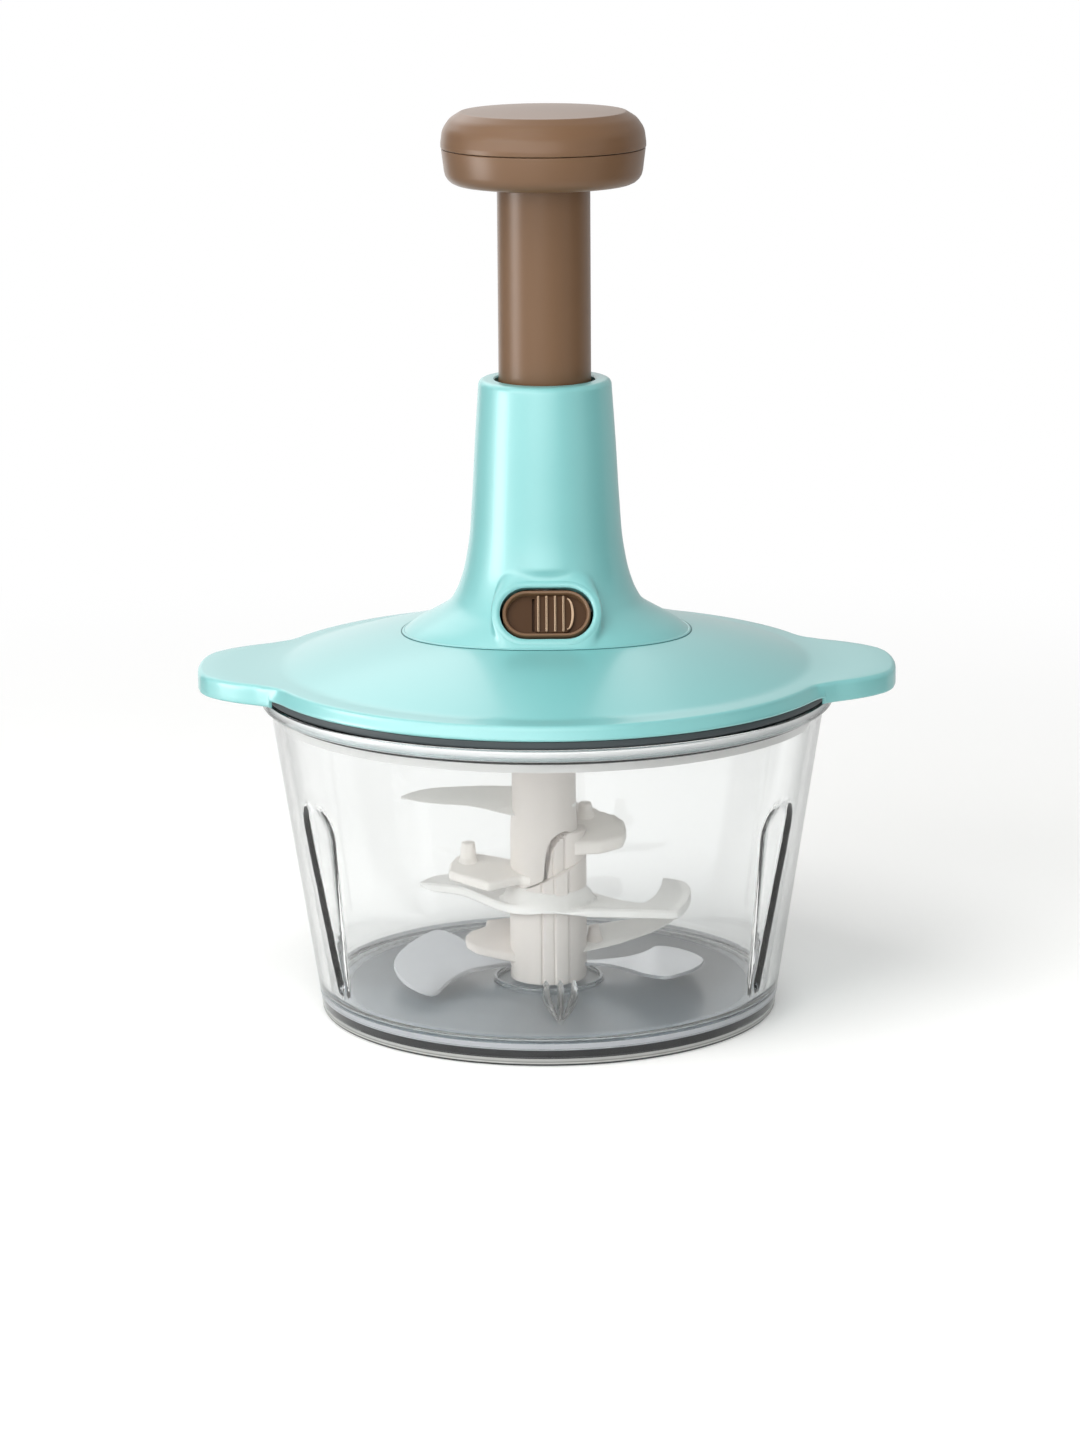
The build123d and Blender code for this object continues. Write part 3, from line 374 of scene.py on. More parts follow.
# Distance from the z axis of a place in Object coordinates.
def reachFromAxis(tree, place):
    flatPlace = addNode(
        tree, "ShaderNodeVectorMath", {"operation": "MULTIPLY"}, {0: place, 1: (1.0, 1.0, 0.0)}
    )
    return addNode(
        tree, "ShaderNodeVectorMath", {"operation": "LENGTH"}, {0: flatPlace.outputs[0]}
    ).outputs["Value"]


# What all moulded plastics here share: how far the roughness drifts, how rough a clear gloss on top is, and
# half the width in millimetres of the blend between two bands of colour.
mouldedFinish = {"drift": 0.015, "coatRoughness": 0.2, "bandBlend": 0.2}


# Injection-moulded plastic from a spark-eroded tool: colour shifts a little over some centimetres where the
# melt flowed, roughness drifts a little, and a fine grain breaks up the gloss.
def mouldedPlastic(name, look):
    f = mouldedFinish
    material, tree = newMaterial(name)
    place = addNode(tree, "ShaderNodeTexCoord").outputs["Object"]
    flow = addNode(
        tree, "ShaderNodeTexNoise", {}, {"Vector": place, "Scale": 1000 / look["flowSize"], "Detail": 2.0}
    )
    tint = addNode(
        tree, "ShaderNodeMix", {"data_type": "RGBA"},
        {"Factor": flow.outputs["Fac"], 6: linear(look["deep"]), 7: linear(look["light"])},
    )
    height = addNode(tree, "ShaderNodeSeparateXYZ", {}, {0: place}).outputs["Z"]
    # Bands of colour up the height, which only the seal's sleeve has: painted highlight and painted shade.
    colour = bandedColour(tree, height, tint.outputs[2], look.get("rings", ()), f["bandBlend"])
    grain = addNode(
        tree, "ShaderNodeTexNoise", {}, {"Vector": place, "Scale": 1000 / look["grainSize"], "Detail": 3.0}
    )
    bump = addNode(
        tree, "ShaderNodeBump", {},
        {
            "Height": grain.outputs["Fac"], "Strength": look["grainStrength"],
            "Distance": look["grainDepth"] / 1000,
        },
    )
    gloss = addNode(
        tree, "ShaderNodeMapRange", {},
        {
            "Value": flow.outputs["Fac"], "To Min": look["roughness"] - f["drift"],
            "To Max": look["roughness"] + f["drift"],
        },
    )
    surface = addNode(
        tree, "ShaderNodeBsdfPrincipled", {},
        {
            "Base Color": colour, "Roughness": gloss.outputs[0], "Normal": bump.outputs[0],
            "IOR": look["ior"], "Specular IOR Level": look.get("shine", 0.5),
            "Coat Weight": look.get("coat", 0.0), "Coat Roughness": f["coatRoughness"],
        },
    )
    addNode(tree, "ShaderNodeOutputMaterial", {}, {"Surface": surface.outputs[0]})
    return material


# Polished clear styrene-acrylonitrile: faint cool tint that deepens where the surface turns away, partly for
# the longer way through the wall and partly as painted reflection of dark at the edges, faint wipe marks in
# the gloss, and a satin floor. On its foot are frosted rings that paint highlight lines, over painted bands
# of pale light and grey shade and a painted contact shadow at its lowest edge. The top of the flange is
# frosted too as a painted highlight, and the corner under it is painted near black as shade.
# Rays from lamps pass.
def clearStyrene(look):
    material, tree = newMaterial("clearMouldedStyrene")
    place = addNode(tree, "ShaderNodeTexCoord").outputs["Object"]
    height = addNode(tree, "ShaderNodeSeparateXYZ", {}, {0: place}).outputs["Z"]
    out = reachFromAxis(tree, place)

    wipes = addNode(
        tree, "ShaderNodeTexNoise", {}, {"Vector": place, "Scale": 1000 / look["wipeSize"], "Detail": 4.0}
    )
    gloss = addNode(
        tree, "ShaderNodeMapRange", {},
        {
            "Value": wipes.outputs["Fac"], "To Min": look["roughness"] * 0.5,
            "To Max": look["roughness"] * 1.5,
        },
    )
    low = addNode(
        tree, "ShaderNodeMapRange", {},
        {"Value": height, **blendEnds(look["floorHeights"]), "To Min": look["floorRoughness"], "To Max": 0.0},
    )
    satinFloor = addNode(
        tree, "ShaderNodeMapRange", {},
        {"Value": out, **blendEnds(look["floorReach"]), "To Min": low.outputs[0], "To Max": 0.0},
    )

    # Painted highlight: on the foot, frosted rings below 2.6 mm and from 5.8 to 7.4 mm are less clear and
    # rougher, so that the pale bands under them show as bright lines.
    onFoot = addNode(
        tree, "ShaderNodeMapRange", {}, {"Value": out, **blendEnds(look["footReach"])}
    ).outputs[0]
    frostHighlightRings = bandedColour(tree, height, linear("#ffffff"), look["frostHighlightRings"], look["ringBlend"])
    footHighlightFrost = addNode(
        tree, "ShaderNodeMath", {"operation": "MULTIPLY"}, {0: frostHighlightRings, 1: onFoot}
    ).outputs[0]
    blur = addNode(
        tree, "ShaderNodeMath", {"operation": "MULTIPLY_ADD"},
        {0: footHighlightFrost, 1: look["frostRoughness"], 2: gloss.outputs[0]},
    )
    rough = addNode(
        tree, "ShaderNodeMath", {"operation": "ADD"}, {0: blur.outputs[0], 1: satinFloor.outputs[0]}
    )
    # Painted highlight: the flange's top outer edge is frosted between two heights, so that it shows as a
    # white line.
    overFlange = addNode(tree, "ShaderNodeMapRange", {}, {"Value": height, **blendEnds(look["edgeHighlightFrost"])})
    belowTop = addNode(
        tree, "ShaderNodeMapRange", {},
        {"Value": height, **blendEnds(look["edgeFrostEnd"]), "To Min": overFlange.outputs[0], "To Max": 0.0},
    )
    edgeHighlightFrost = addNode(
        tree, "ShaderNodeMapRange", {},
        {"Value": out, **blendEnds(look["edgeReach"]), "To Max": belowTop.outputs[0]},
    )
    frost = addNode(tree, "ShaderNodeMath", {"operation": "ADD"}, {0: footHighlightFrost, 1: edgeHighlightFrost.outputs[0]})
    clear = addNode(
        tree, "ShaderNodeMapRange", {},
        {"Value": frost.outputs[0], "To Min": 1.0, "To Max": look["frostClear"]},
    )

    # Partly painted reflection: the tint turns dark grey where the surface turns away, standing in partly for
    # the longer way through the wall and partly for dark reflections at the bowl's edges.
    turned = addNode(tree, "ShaderNodeLayerWeight", {}, {"Blend": 0.5}).outputs["Facing"]
    long = addNode(
        tree, "ShaderNodeMapRange", {"interpolation_type": "SMOOTHSTEP"},
        {"Value": turned, "From Min": look["edgeFrom"], "From Max": look["edgeTo"]},
    )
    tint = addNode(
        tree, "ShaderNodeMix", {"data_type": "RGBA"},
        {"Factor": long.outputs[0], 6: linear(look["tint"]), 7: linear(look["edgeShadeTint"])},
    )
    # Painted light and shade on the foot: pale and grey bands, and a near-black painted contact shadow at its
    # lowest edge.
    footPaintedBands = bandedColour(tree, height, linear(look["footContactShadow"]), look["footRings"], look["ringBlend"])
    lowest = addNode(
        tree, "ShaderNodeMapRange", {},
        {"Value": height, **blendEnds(look["footTop"]), "To Min": onFoot, "To Max": 0.0},
    )
    tint = addNode(
        tree, "ShaderNodeMix", {"data_type": "RGBA"},
        {"Factor": lowest.outputs[0], 6: tint.outputs[2], 7: footPaintedBands},
    )
    # Painted shade: the corner under the flange is coloured near black.
    above = addNode(tree, "ShaderNodeMapRange", {}, {"Value": height, **blendEnds(look["cornerStart"])})
    under = addNode(
        tree, "ShaderNodeMapRange", {},
        {"Value": height, **blendEnds(look["cornerEnd"]), "To Min": above.outputs[0], "To Max": 0.0},
    )
    inShadedCorner = addNode(
        tree, "ShaderNodeMapRange", {},
        {"Value": out, **blendEnds(look["cornerReach"]), "To Max": under.outputs[0]},
    )
    tint = addNode(
        tree, "ShaderNodeMix", {"data_type": "RGBA"},
        {"Factor": inShadedCorner.outputs[0], 6: tint.outputs[2], 7: linear(look["cornerPaintedShade"])},
    )

    surface = addNode(
        tree, "ShaderNodeBsdfPrincipled", {},
        {
            "Base Color": tint.outputs[2], "Roughness": rough.outputs[0], "IOR": look["ior"],
            "Transmission Weight": clear.outputs[0], "Specular IOR Level": look["shine"],
        },
    )
    lampPath = addNode(tree, "ShaderNodeLightPath")
    through = addNode(tree, "ShaderNodeBsdfTransparent", {}, {"Color": linear(look["shadow"])})
    both = addNode(
        tree, "ShaderNodeMixShader", {},
        {0: lampPath.outputs["Is Shadow Ray"], 1: surface.outputs[0], 2: through.outputs[0]},
    )
    addNode(tree, "ShaderNodeOutputMaterial", {}, {"Surface": both.outputs[0]})
    return material


# What all steels here share: how far the roughness drifts, and the depth of a line in millimetres.
linedFinish = {"drift": 0.05, "depth": 0.02}


# Metal with drawn or ground lines: noise stretched along one axis, so that its scale across is the line
# spacing and its scale along is the line length.
def linedSteel(name, look):
    f = linedFinish
    material, tree = newMaterial(name)
    place = addNode(tree, "ShaderNodeTexCoord").outputs["Object"]
    stretch = addNode(
        tree, "ShaderNodeMapping", {},
        {"Vector": place, "Scale": tuple(1000 / size for size in look["lineSize"])},
    )
    lines = addNode(
        tree, "ShaderNodeTexNoise", {}, {"Vector": stretch.outputs[0], "Scale": 1.0, "Detail": 2.0}
    )
    tint = addNode(
        tree, "ShaderNodeMix", {"data_type": "RGBA"},
        {"Factor": lines.outputs["Fac"], 6: linear(look["deep"]), 7: linear(look["light"])},
    )
    gloss = addNode(
        tree, "ShaderNodeMapRange", {},
        {
            "Value": lines.outputs["Fac"], "To Min": look["roughness"] - f["drift"],
            "To Max": look["roughness"] + f["drift"],
        },
    )
    bump = addNode(
        tree, "ShaderNodeBump", {},
        {"Height": lines.outputs["Fac"], "Strength": look["lineStrength"], "Distance": f["depth"] / 1000},
    )
    surface = addNode(
        tree, "ShaderNodeBsdfPrincipled", {},
        {
            "Base Color": tint.outputs[2], "Metallic": look["metal"], "Roughness": gloss.outputs[0],
            "Normal": bump.outputs[0],
        },
    )
    addNode(tree, "ShaderNodeOutputMaterial", {}, {"Surface": surface.outputs[0]})
    return material


# Moulded rubber of the base: soft matt grey disc with a fine speckle. Its rim has painted light and shade: on
# top a dark ring of painted shade and a pale ring of painted highlight, and on its side a dark band of
# painted contact shadow at the bottom, a pale band of painted highlight, and a near-black band of painted
# shade above.
def padRubber(look):
    material, tree = newMaterial("matMouldedRubberPad")
    place = addNode(tree, "ShaderNodeTexCoord").outputs["Object"]
    height = addNode(tree, "ShaderNodeSeparateXYZ", {}, {0: place}).outputs["Z"]
    speckle = addNode(
        tree, "ShaderNodeTexNoise", {}, {"Vector": place, "Scale": 1000 / look["speckleSize"], "Detail": 4.0}
    )
    disc = addNode(
        tree, "ShaderNodeMix", {"data_type": "RGBA"},
        {"Factor": speckle.outputs["Fac"], 6: linear(look["discDeep"]), 7: linear(look["discLight"])},
    ).outputs[2]
    # Painted light and shade: rings on the rim's top and bands on its side.
    top = bandedColour(tree, reachFromAxis(tree, place), disc, look["topLightAndShadeRings"], look["ringBlend"])
    side = bandedColour(tree, height, linear(look["sideLowestShade"]), look["sideLightAndShadeRings"], look["ringBlend"])
    onSide = addNode(
        tree, "ShaderNodeMapRange", {},
        {"Value": height, **blendEnds(look["sideTop"]), "To Min": 1.0, "To Max": 0.0},
    )
    tint = addNode(
        tree, "ShaderNodeMix", {"data_type": "RGBA"}, {"Factor": onSide.outputs[0], 6: top, 7: side}
    )
    bump = addNode(
        tree, "ShaderNodeBump", {},
        {
            "Height": speckle.outputs["Fac"], "Strength": look["speckleStrength"],
            "Distance": look["speckleDepth"] / 1000,
        },
    )
    surface = addNode(
        tree, "ShaderNodeBsdfPrincipled", {},
        {"Base Color": tint.outputs[2], "Roughness": look["roughness"], "Normal": bump.outputs[0]},
    )
    addNode(tree, "ShaderNodeOutputMaterial", {}, {"Surface": surface.outputs[0]})
    return material


# Sizes in the looks are millimetres: the spacing of a pattern, the depth of a grain, and places along z or
# out from the axis. A pair is where a blend starts and ends. A ring is the place where it starts, and its
# colour.

# Satin moulded polypropylene, pale turquoise.
turquoiseLook = {
    "deep": "#6eb2b1", "light": "#74b7b6", "flowSize": 60.0, "grainSize": 0.5, "grainDepth": 0.02,
    "grainStrength": 0.12, "roughness": 0.42, "ior": 1.50, "shine": 1.0, "coat": 0.55,
}
# Painted shadow: a dark line put in the joint between tower foot and lid, the same plastic coloured as in its
# own shadow.
jointShadeLook = {**turquoiseLook, "deep": "#2f6466", "light": "#336a6c", "coat": 0.0, "shine": 0.15}
# Satin moulded acrylonitrile-butadiene-styrene, coffee brown.
brownLook = {
    "deep": "#6d513a", "light": "#72563e", "flowSize": 40.0, "grainSize": 0.4, "grainDepth": 0.02,
    "grainStrength": 0.12, "roughness": 0.32, "ior": 1.54, "shine": 0.3, "coat": 0.0,
}
# Painted shade: the same plastic in a darker brown for the lock's recessed tray floor and the slider plate
# between its ridges. Painted highlight: a lighter, glossier brown on the slider's grip.
shadedBrownLook = {**brownLook, "deep": "#412b19", "light": "#46301d", "roughness": 0.5, "shine": 0.15}
gripHighlightLook = {**brownLook, "deep": "#b3977c", "light": "#b99d82", "roughness": 0.2}
# Glass-smooth ivory polyoxymethylene of the blade tower, and the same a little paler on the thin arms as
# painted light, for the light their tops catch.
ivoryLook = {
    "deep": "#e2dad4", "light": "#e7dfd9", "flowSize": 30.0, "grainSize": 0.4, "grainDepth": 0.015,
    "grainStrength": 0.08, "roughness": 0.38, "ior": 1.48,
}
litIvoryLook = {**ivoryLook, "deep": "#f1eae4", "light": "#f5efe9"}
# Plain moulded black of the guide sleeve, the bearings and the seal's lower lip.
blackLook = {
    "deep": "#17181a", "light": "#1f2022", "flowSize": 20.0, "grainSize": 0.3, "grainDepth": 0.02,
    "grainStrength": 0.2, "roughness": 0.5, "ior": 1.5,
}
# Uncoloured polyoxymethylene of the parts inside the lid.
innerLook = {
    "deep": "#e2e2de", "light": "#ececea", "flowSize": 25.0, "grainSize": 0.4, "grainDepth": 0.02,
    "grainStrength": 0.1, "roughness": 0.42, "ior": 1.48,
}
# Moulded silicone of the lid seal, charcoal.
sealLook = {
    "deep": "#333a3d", "light": "#3e4648", "flowSize": 15.0, "grainSize": 0.5, "grainDepth": 0.03,
    "grainStrength": 0.2, "roughness": 0.5, "ior": 1.41,
}
# Uncoloured moulded silicone of the seal's sleeve: off-white, with painted light and shade in rings above,
# seen through the clear flange: white rings of painted highlight and greenish grey rings of painted shade.
paleSealLook = {
    "deep": "#e0dedc", "light": "#e8e6e4", "flowSize": 15.0, "grainSize": 0.5, "grainDepth": 0.02,
    "grainStrength": 0.1, "roughness": 0.35, "ior": 1.41,
    "rings": ((97.2, "#f4fafa"), (98.1, "#b3c6c8"), (98.8, "#ccd6d6"), (99.4, "#e3e7e7"), (99.8, "#ffffff")),
}
# Clear bowl. Its edge tint is partly painted reflection; its foot rings, contact shadow and flange corner are
# painted light and shade.
styreneLook = {
    "tint": "#fbfcfc", "edgeShadeTint": "#5f6868", "edgeFrom": 0.60, "edgeTo": 0.97, "shadow": "#f2f6f6",
    "ior": 1.57, "roughness": 0.02, "shine": 0.35, "wipeSize": 18.0,
    "floorRoughness": 0.28, "floorHeights": (7.5, 7.9), "floorReach": (62.5, 64.5),
    "frostHighlightRings": ((2.6, "#000000"), (5.8, "#ffffff"), (7.4, "#000000")), "frostClear": 0.4,
    "frostRoughness": 0.4, "ringBlend": 0.15, "footReach": (69.7, 69.9), "footTop": (7.2, 7.5),
    "footContactShadow": "#060607",
    "footRings": (
        (0.95, "#d8d9d4"), (1.35, "#8a8b88"), (1.75, "#c0c1be"), (2.7, "#55595e"), (5.4, "#c0c2c6"),
    ),
    "edgeHighlightFrost": (98.4, 101.0), "edgeFrostEnd": (101.2, 101.4), "edgeReach": (88.0, 88.3),
    "cornerStart": (96.8, 97.1), "cornerEnd": (98.0, 98.3), "cornerReach": (84.5, 84.8),
    "cornerPaintedShade": "#020303",
}
# Pad. Its rings on top and on the side are painted light and shade.
padLook = {
    "discDeep": "#d6dae2", "discLight": "#e0e3ea", "topLightAndShadeRings": ((66.2, "#85888e"), (67.0, "#f2f4f5")),
    "sideTop": (4.9, 5.0), "sideLowestShade": "#303135", "sideLightAndShadeRings": ((1.1, "#eef0f1"), (2.4, "#0e0f11")),
    "ringBlend": 0.15, "roughness": 0.62, "speckleSize": 1.2, "speckleStrength": 0.2, "speckleDepth": 0.1,
}
# Satin-coated blade sheet, near white: only partly metallic to the eye, fine lines 0.25 mm apart, 30 mm long.
satinLook = {
    "deep": "#f2efeb", "light": "#f9f7f4", "lineSize": (30.0, 0.25, 2.0), "metal": 0.1, "roughness": 0.40,
    "lineStrength": 0.1,
}
# Ground stainless sheet of the floor blade: grinding lines 0.25 mm apart.
groundLook = {
    "deep": "#b3b5b9", "light": "#c6c8cb", "lineSize": (30.0, 0.25, 2.0), "metal": 0.75, "roughness": 0.30,
    "lineStrength": 0.15,
}
# Drawn steel of pin, spring, screws and drive bar: drawing lines along z.
drawnLook = {
    "deep": "#a9abad", "light": "#c6c8ca", "lineSize": (0.3, 0.3, 12.0), "metal": 1.0, "roughness": 0.25,
    "lineStrength": 0.2,
}

turquoise = mouldedPlastic("satinMouldedTurquoise", turquoiseLook)
jointShadow = mouldedPlastic("mattTurquoisePaintedShadow", jointShadeLook)
brown = mouldedPlastic("satinMouldedBrown", brownLook)
# Painted shade and painted highlight: a darker and a lighter copy of the brown for the lock.
shadedBrown = mouldedPlastic("satinMouldedBrownPaintedShade", shadedBrownLook)
gripHighlightBrown = mouldedPlastic("mouldedBrownPaintedHighlight", gripHighlightLook)
ivory = mouldedPlastic("mouldedIvory", ivoryLook)
# Painted light: a paler ivory for the arms.
litIvory = mouldedPlastic("mouldedIvoryPaintedLight", litIvoryLook)
black = mouldedPlastic("mouldedBlack", blackLook)
plain = mouldedPlastic("mouldedUncoloured", innerLook)
silicone = mouldedPlastic("mouldedSilicone", sealLook)
paleSilicone = mouldedPlastic("paleMouldedSilicone", paleSealLook)
styrene = clearStyrene(styreneLook)
rubber = padRubber(padLook)
satin = linedSteel("satinCoatedSheet", satinLook)
ground = linedSteel("groundStainless", groundLook)
drawn = linedSteel("drawnSteel", drawnLook)
print("materials made")

# Floor
span = room["floorSpan"]
floorMesh = bpy.data.meshes.new("tableTop")
floorMesh.from_pydata(
    [(-span, -span, 0), (span, -span, 0), (span, span, 0), (-span, span, 0)], [], [(0, 1, 2, 3)]
)
floor = bpy.data.objects.new("tableTop", floorMesh)
bpy.context.scene.collection.objects.link(floor)
# The table keeps the shadow near the object and fades to the white backdrop further out. A little white is
# added for the camera, gloss and clear plastic, so that it looks white without more light on the object.
floorMaterial, tree = newMaterial("paleTable")
place = addNode(tree, "ShaderNodeTexCoord").outputs["Object"]
out = addNode(tree, "ShaderNodeVectorMath", {"operation": "LENGTH"}, {0: place})
fade = addNode(
    tree, "ShaderNodeMapRange", {"interpolation_type": "SMOOTHSTEP"},
    {"Value": out.outputs["Value"], "From Min": room["fadeFrom"], "From Max": room["fadeTo"]},
)
awayFromMiddle = addNode(tree, "ShaderNodeVectorMath", {"operation": "NORMALIZE"}, {0: place}).outputs[0]
liftLevel = levelByRay(tree, 0.0, room["floorLift"], room["floorLift"], room["floorLift"])
farLevel = levelByRay(tree, room["skyOnObject"], 1.0, glossRoom(tree, awayFromMiddle), 1.0)
tableShade = addNode(
    tree, "ShaderNodeBsdfPrincipled", {},
    {"Base Color": linear(room["floorColour"]), "Roughness": room["floorRoughness"]},
)
lift = addNode(tree, "ShaderNodeEmission", {}, {"Color": linear("#ffffff"), "Strength": liftLevel})
near = addNode(tree, "ShaderNodeAddShader", {}, {0: tableShade.outputs[0], 1: lift.outputs[0]})
far = addNode(tree, "ShaderNodeEmission", {}, {"Color": linear("#ffffff"), "Strength": farLevel})
table = addNode(tree, "ShaderNodeMixShader", {}, {0: fade.outputs[0], 1: near.outputs[0], 2: far.outputs[0]})
addNode(tree, "ShaderNodeOutputMaterial", {}, {"Surface": table.outputs[0]})
floorMesh.materials.append(floorMaterial)
print("floor made")

# Bowl. Flutes: angles, fan and reach in degrees, and pairs of values for the lower and the upper end.
bowl = {
    "footRadius": 71.0, "rimRadius": 86.0, "wall": 3.0, "flangeRadius": 88.7, "flangeBottom": 98.0,
    "top": 101.9, "skirtBottom": 0.2, "skirtInner": 69.0, "floorTop": 7.0, "floorBottom": 5.2,
    "collarOuter": 17.2, "collarInner": 16.0, "collarTop": 8.8, "bossRadius": 5.4, "bossTop": 11.7,
    "pinRadius": 2.98, "pinSeat": 6.2, "wallStep": 1.3, "wallFrom": 66.0, "wallRows": (4.0, 97.0),
    "fluteAngles": (-30, -150, 90), "fluteFan": 9, "fluteReach": 14, "fluteRows": (6.0, 97.0),
    "fluteHeights": (16.0, 65.0), "fluteHalfWidths": (2.9, 8.8), "fluteDepths": (1.7, 2.7), "fluteLip": 0.15,
}


def bowlWall(height):
    b = bowl
    slope = (b["rimRadius"] - b["footRadius"]) / (b["flangeBottom"] - b["skirtBottom"])
    return b["footRadius"] + slope * (height - b["skirtBottom"])


# Depth of the teardrop flutes: depth times (1 - q^2), where q is the distance from the flute's middle line
# over its half width there, taken at the best place along that line, and blended into the wall.
def fluteDepth(angles, heights):
    b = bowl
    t = np.linspace(0, 1, 24)[None, None, :]
    ends = b["fluteHeights"], b["fluteHalfWidths"], b["fluteDepths"]
    middle, half, deep = (low + t * (high - low) for low, high in ends)
    total = np.zeros((len(heights), len(angles)))
    for flute in b["fluteAngles"]:
        away = (angles - math.radians(flute) + math.pi) % (2 * math.pi) - math.pi
        near = np.flatnonzero(np.abs(away) < math.radians(b["fluteReach"]))
        side = (away[near][None, :] * bowlWall(heights)[:, None])[..., None]
        q = np.sqrt(side**2 + (heights[:, None, None] - middle) ** 2) / half
        depth = (deep * (1 - q**2)).max(-1)
        total[:, near] += (depth + np.sqrt(depth**2 + b["fluteLip"] ** 2)) / 2
    return total


# Bowl: a profile from axis to axis turned about z, whose wall rows step in by the flute depth. Columns are
# finer across the flutes.
def bowlShape():
    b = bowl
    profile = roundCorners(
        [
            (0, b["pinSeat"], 0), (b["pinRadius"], b["pinSeat"], 0), (b["pinRadius"], b["bossTop"], 0),
            (b["bossRadius"], b["bossTop"], 0.4), (b["bossRadius"], b["floorTop"], 0.4),
            (b["collarInner"], b["floorTop"], 0.3), (b["collarInner"], b["collarTop"], 0.4),
            (b["collarOuter"], b["collarTop"], 0.4), (b["collarOuter"], b["floorTop"], 0.4),
            (bowlWall(b["floorTop"]) - b["wall"], b["floorTop"], 4.0),
            (b["rimRadius"] - b["wall"], b["flangeBottom"], 0), (b["rimRadius"] - b["wall"], b["top"], 0.8),
            (b["flangeRadius"], b["top"], 1.0), (b["flangeRadius"], b["flangeBottom"], 1.0),
            (b["rimRadius"], b["flangeBottom"], 0.9), (b["footRadius"], b["skirtBottom"], 0.7),
            (b["skirtInner"], b["skirtBottom"], 0.7), (b["skirtInner"], b["floorBottom"], 0.6),
            (0, b["floorBottom"], 0),
        ],
        steps=6, closed=False,
    )
    along = np.concatenate([[0], np.cumsum(np.linalg.norm(np.diff(profile, axis=0), axis=1))])
    extra = np.arange(0, along[-1], b["wallStep"])
    radius, height = (np.interp(extra, along, profile[:, i]) for i in (0, 1))
    keep = (radius > b["wallFrom"]) & (height > b["wallRows"][0]) & (height < b["wallRows"][1])
    stations = np.unique(np.concatenate([along, extra[keep]]))
    r, z = (np.interp(stations, along, profile[:, i]) for i in (0, 1))
    fan = np.radians(np.linspace(-b["fluteFan"], b["fluteFan"], 53))
    around = [(flute + fan) % (2 * math.pi) for flute in np.radians(b["fluteAngles"])]
    angles = np.unique(np.round(np.concatenate([np.radians(np.arange(0, 360, 1.25)), *around]), 6))
    slack = 0.4
    wallRow = (r > bowlWall(z) - b["wall"] - slack) & (z > b["fluteRows"][0]) & (z < b["fluteRows"][1])
    depth = np.where(wallRow[:, None], fluteDepth(angles, z), 0)
    return gridShape(ringSurface(r[:, None] - depth, z[:, None], angles))


# Clear ribs in front of the collar: wedges whose top falls from the collar towards the rim, and that gather
# at one line where they are thin. The section's points are (share of the half width, share of the height).
ribs = {
    "places": (-0.9, 3.6, 7.8), "halfWidth": 1.3, "near": 17.0, "far": 49.0, "topNear": 11.6, "topFar": 7.1,
    "bottom": 7.02, "gatherX": 3.4, "gatherPower": 1.5, "fallPower": 1.05, "thinning": 0.75, "steps": 14,
    "section": ((-1, 0), (-0.7, 0.72), (-0.25, 1.0), (0.25, 1.0), (0.7, 0.72), (1.0, 0)),
}


def ribShape(x):
    rb = ribs
    t = np.linspace(0, 1, rb["steps"])[:, None]
    across, rise = np.array(rb["section"]).T[:, None]
    y = -(rb["near"] + t * (rb["far"] - rb["near"]))
    top = rb["topFar"] + (rb["topNear"] - rb["topFar"]) * (1 - t) ** rb["fallPower"]
    half = rb["halfWidth"] * (1 - rb["thinning"] * t**2)
    middle = x + (rb["gatherX"] - x) * t ** rb["gatherPower"]
    height = rb["bottom"] + (top - rb["bottom"]) * rise
    return gridShape(np.stack(np.broadcast_arrays(middle + half * across, y, height), -1), caps=True)


makePiece("clearBowl", [bowlShape()], "bowl", styrene, ["bowl"], sharpAngle=50)
makePiece("collarRibs", [ribShape(x) for x in ribs["places"]], "bowl", styrene)

# Lid. Ear: degrees from the x axis, and how far out the outline is there as a share of the ear's reach, then
# smoothed over a window of earSmooth tenths of a degree.
lid = {
    "domeEdge": 81.3, "domeEdgeHeight": 109.4, "domeTop": 123.2, "domeEnd": 79.6, "bandStart": 83.4,
    "bandEnd": 88.0, "wall": 2.6, "rimTop": 109.0, "rimRadius": 89.46, "rimDraft": 1.1, "rimBottom": 104.5,
    "rimInner": 86.9, "edgeRound": 1.0, "earRound": 0.5, "lowRound": 0.7, "sealSeat": 106.4,
    "skirtOuter": 82.0, "skirtInner": 79.6, "skirtBottom": 96.2, "skirtRound": 0.5,
    "earReach": 18.5, "earBottom": 102.6, "earInner": 89.9, "earStep": 22.0, "earEnd": 26.5, "earSmooth": 27,
    "earAngles": (0, 4, 7.5, 10, 13, 16, 19.4, 21.5, 23.5, 26),
    "earShares": (1, 0.992, 0.962, 0.89, 0.72, 0.5, 0.21, 0.09, 0.025, 0),
    "seatX": 44.3, "seatY": 36.3, "seatLip": 0.5, "seatHeight": 115.0, "seatLedge": 2.8, "collarX": 46.4,
    "collarY": 38.4, "collarBottom": 112.5,
}


def domeHeight(radius):
    p = lid
    rise = p["domeTop"] - p["domeEdgeHeight"]
    ball = (p["domeEdge"] ** 2 + rise**2) / (2 * rise)
    return p["domeTop"] - ball + np.sqrt(ball**2 - radius**2)


# Radius of an oval at each angle: 1 / sqrt((cos a / x)^2 + (sin a / y)^2).
def ovalRadius(halfX, halfY, angles):
    return 1 / np.sqrt((np.cos(angles) / halfX) ** 2 + (np.sin(angles) / halfY) ** 2)


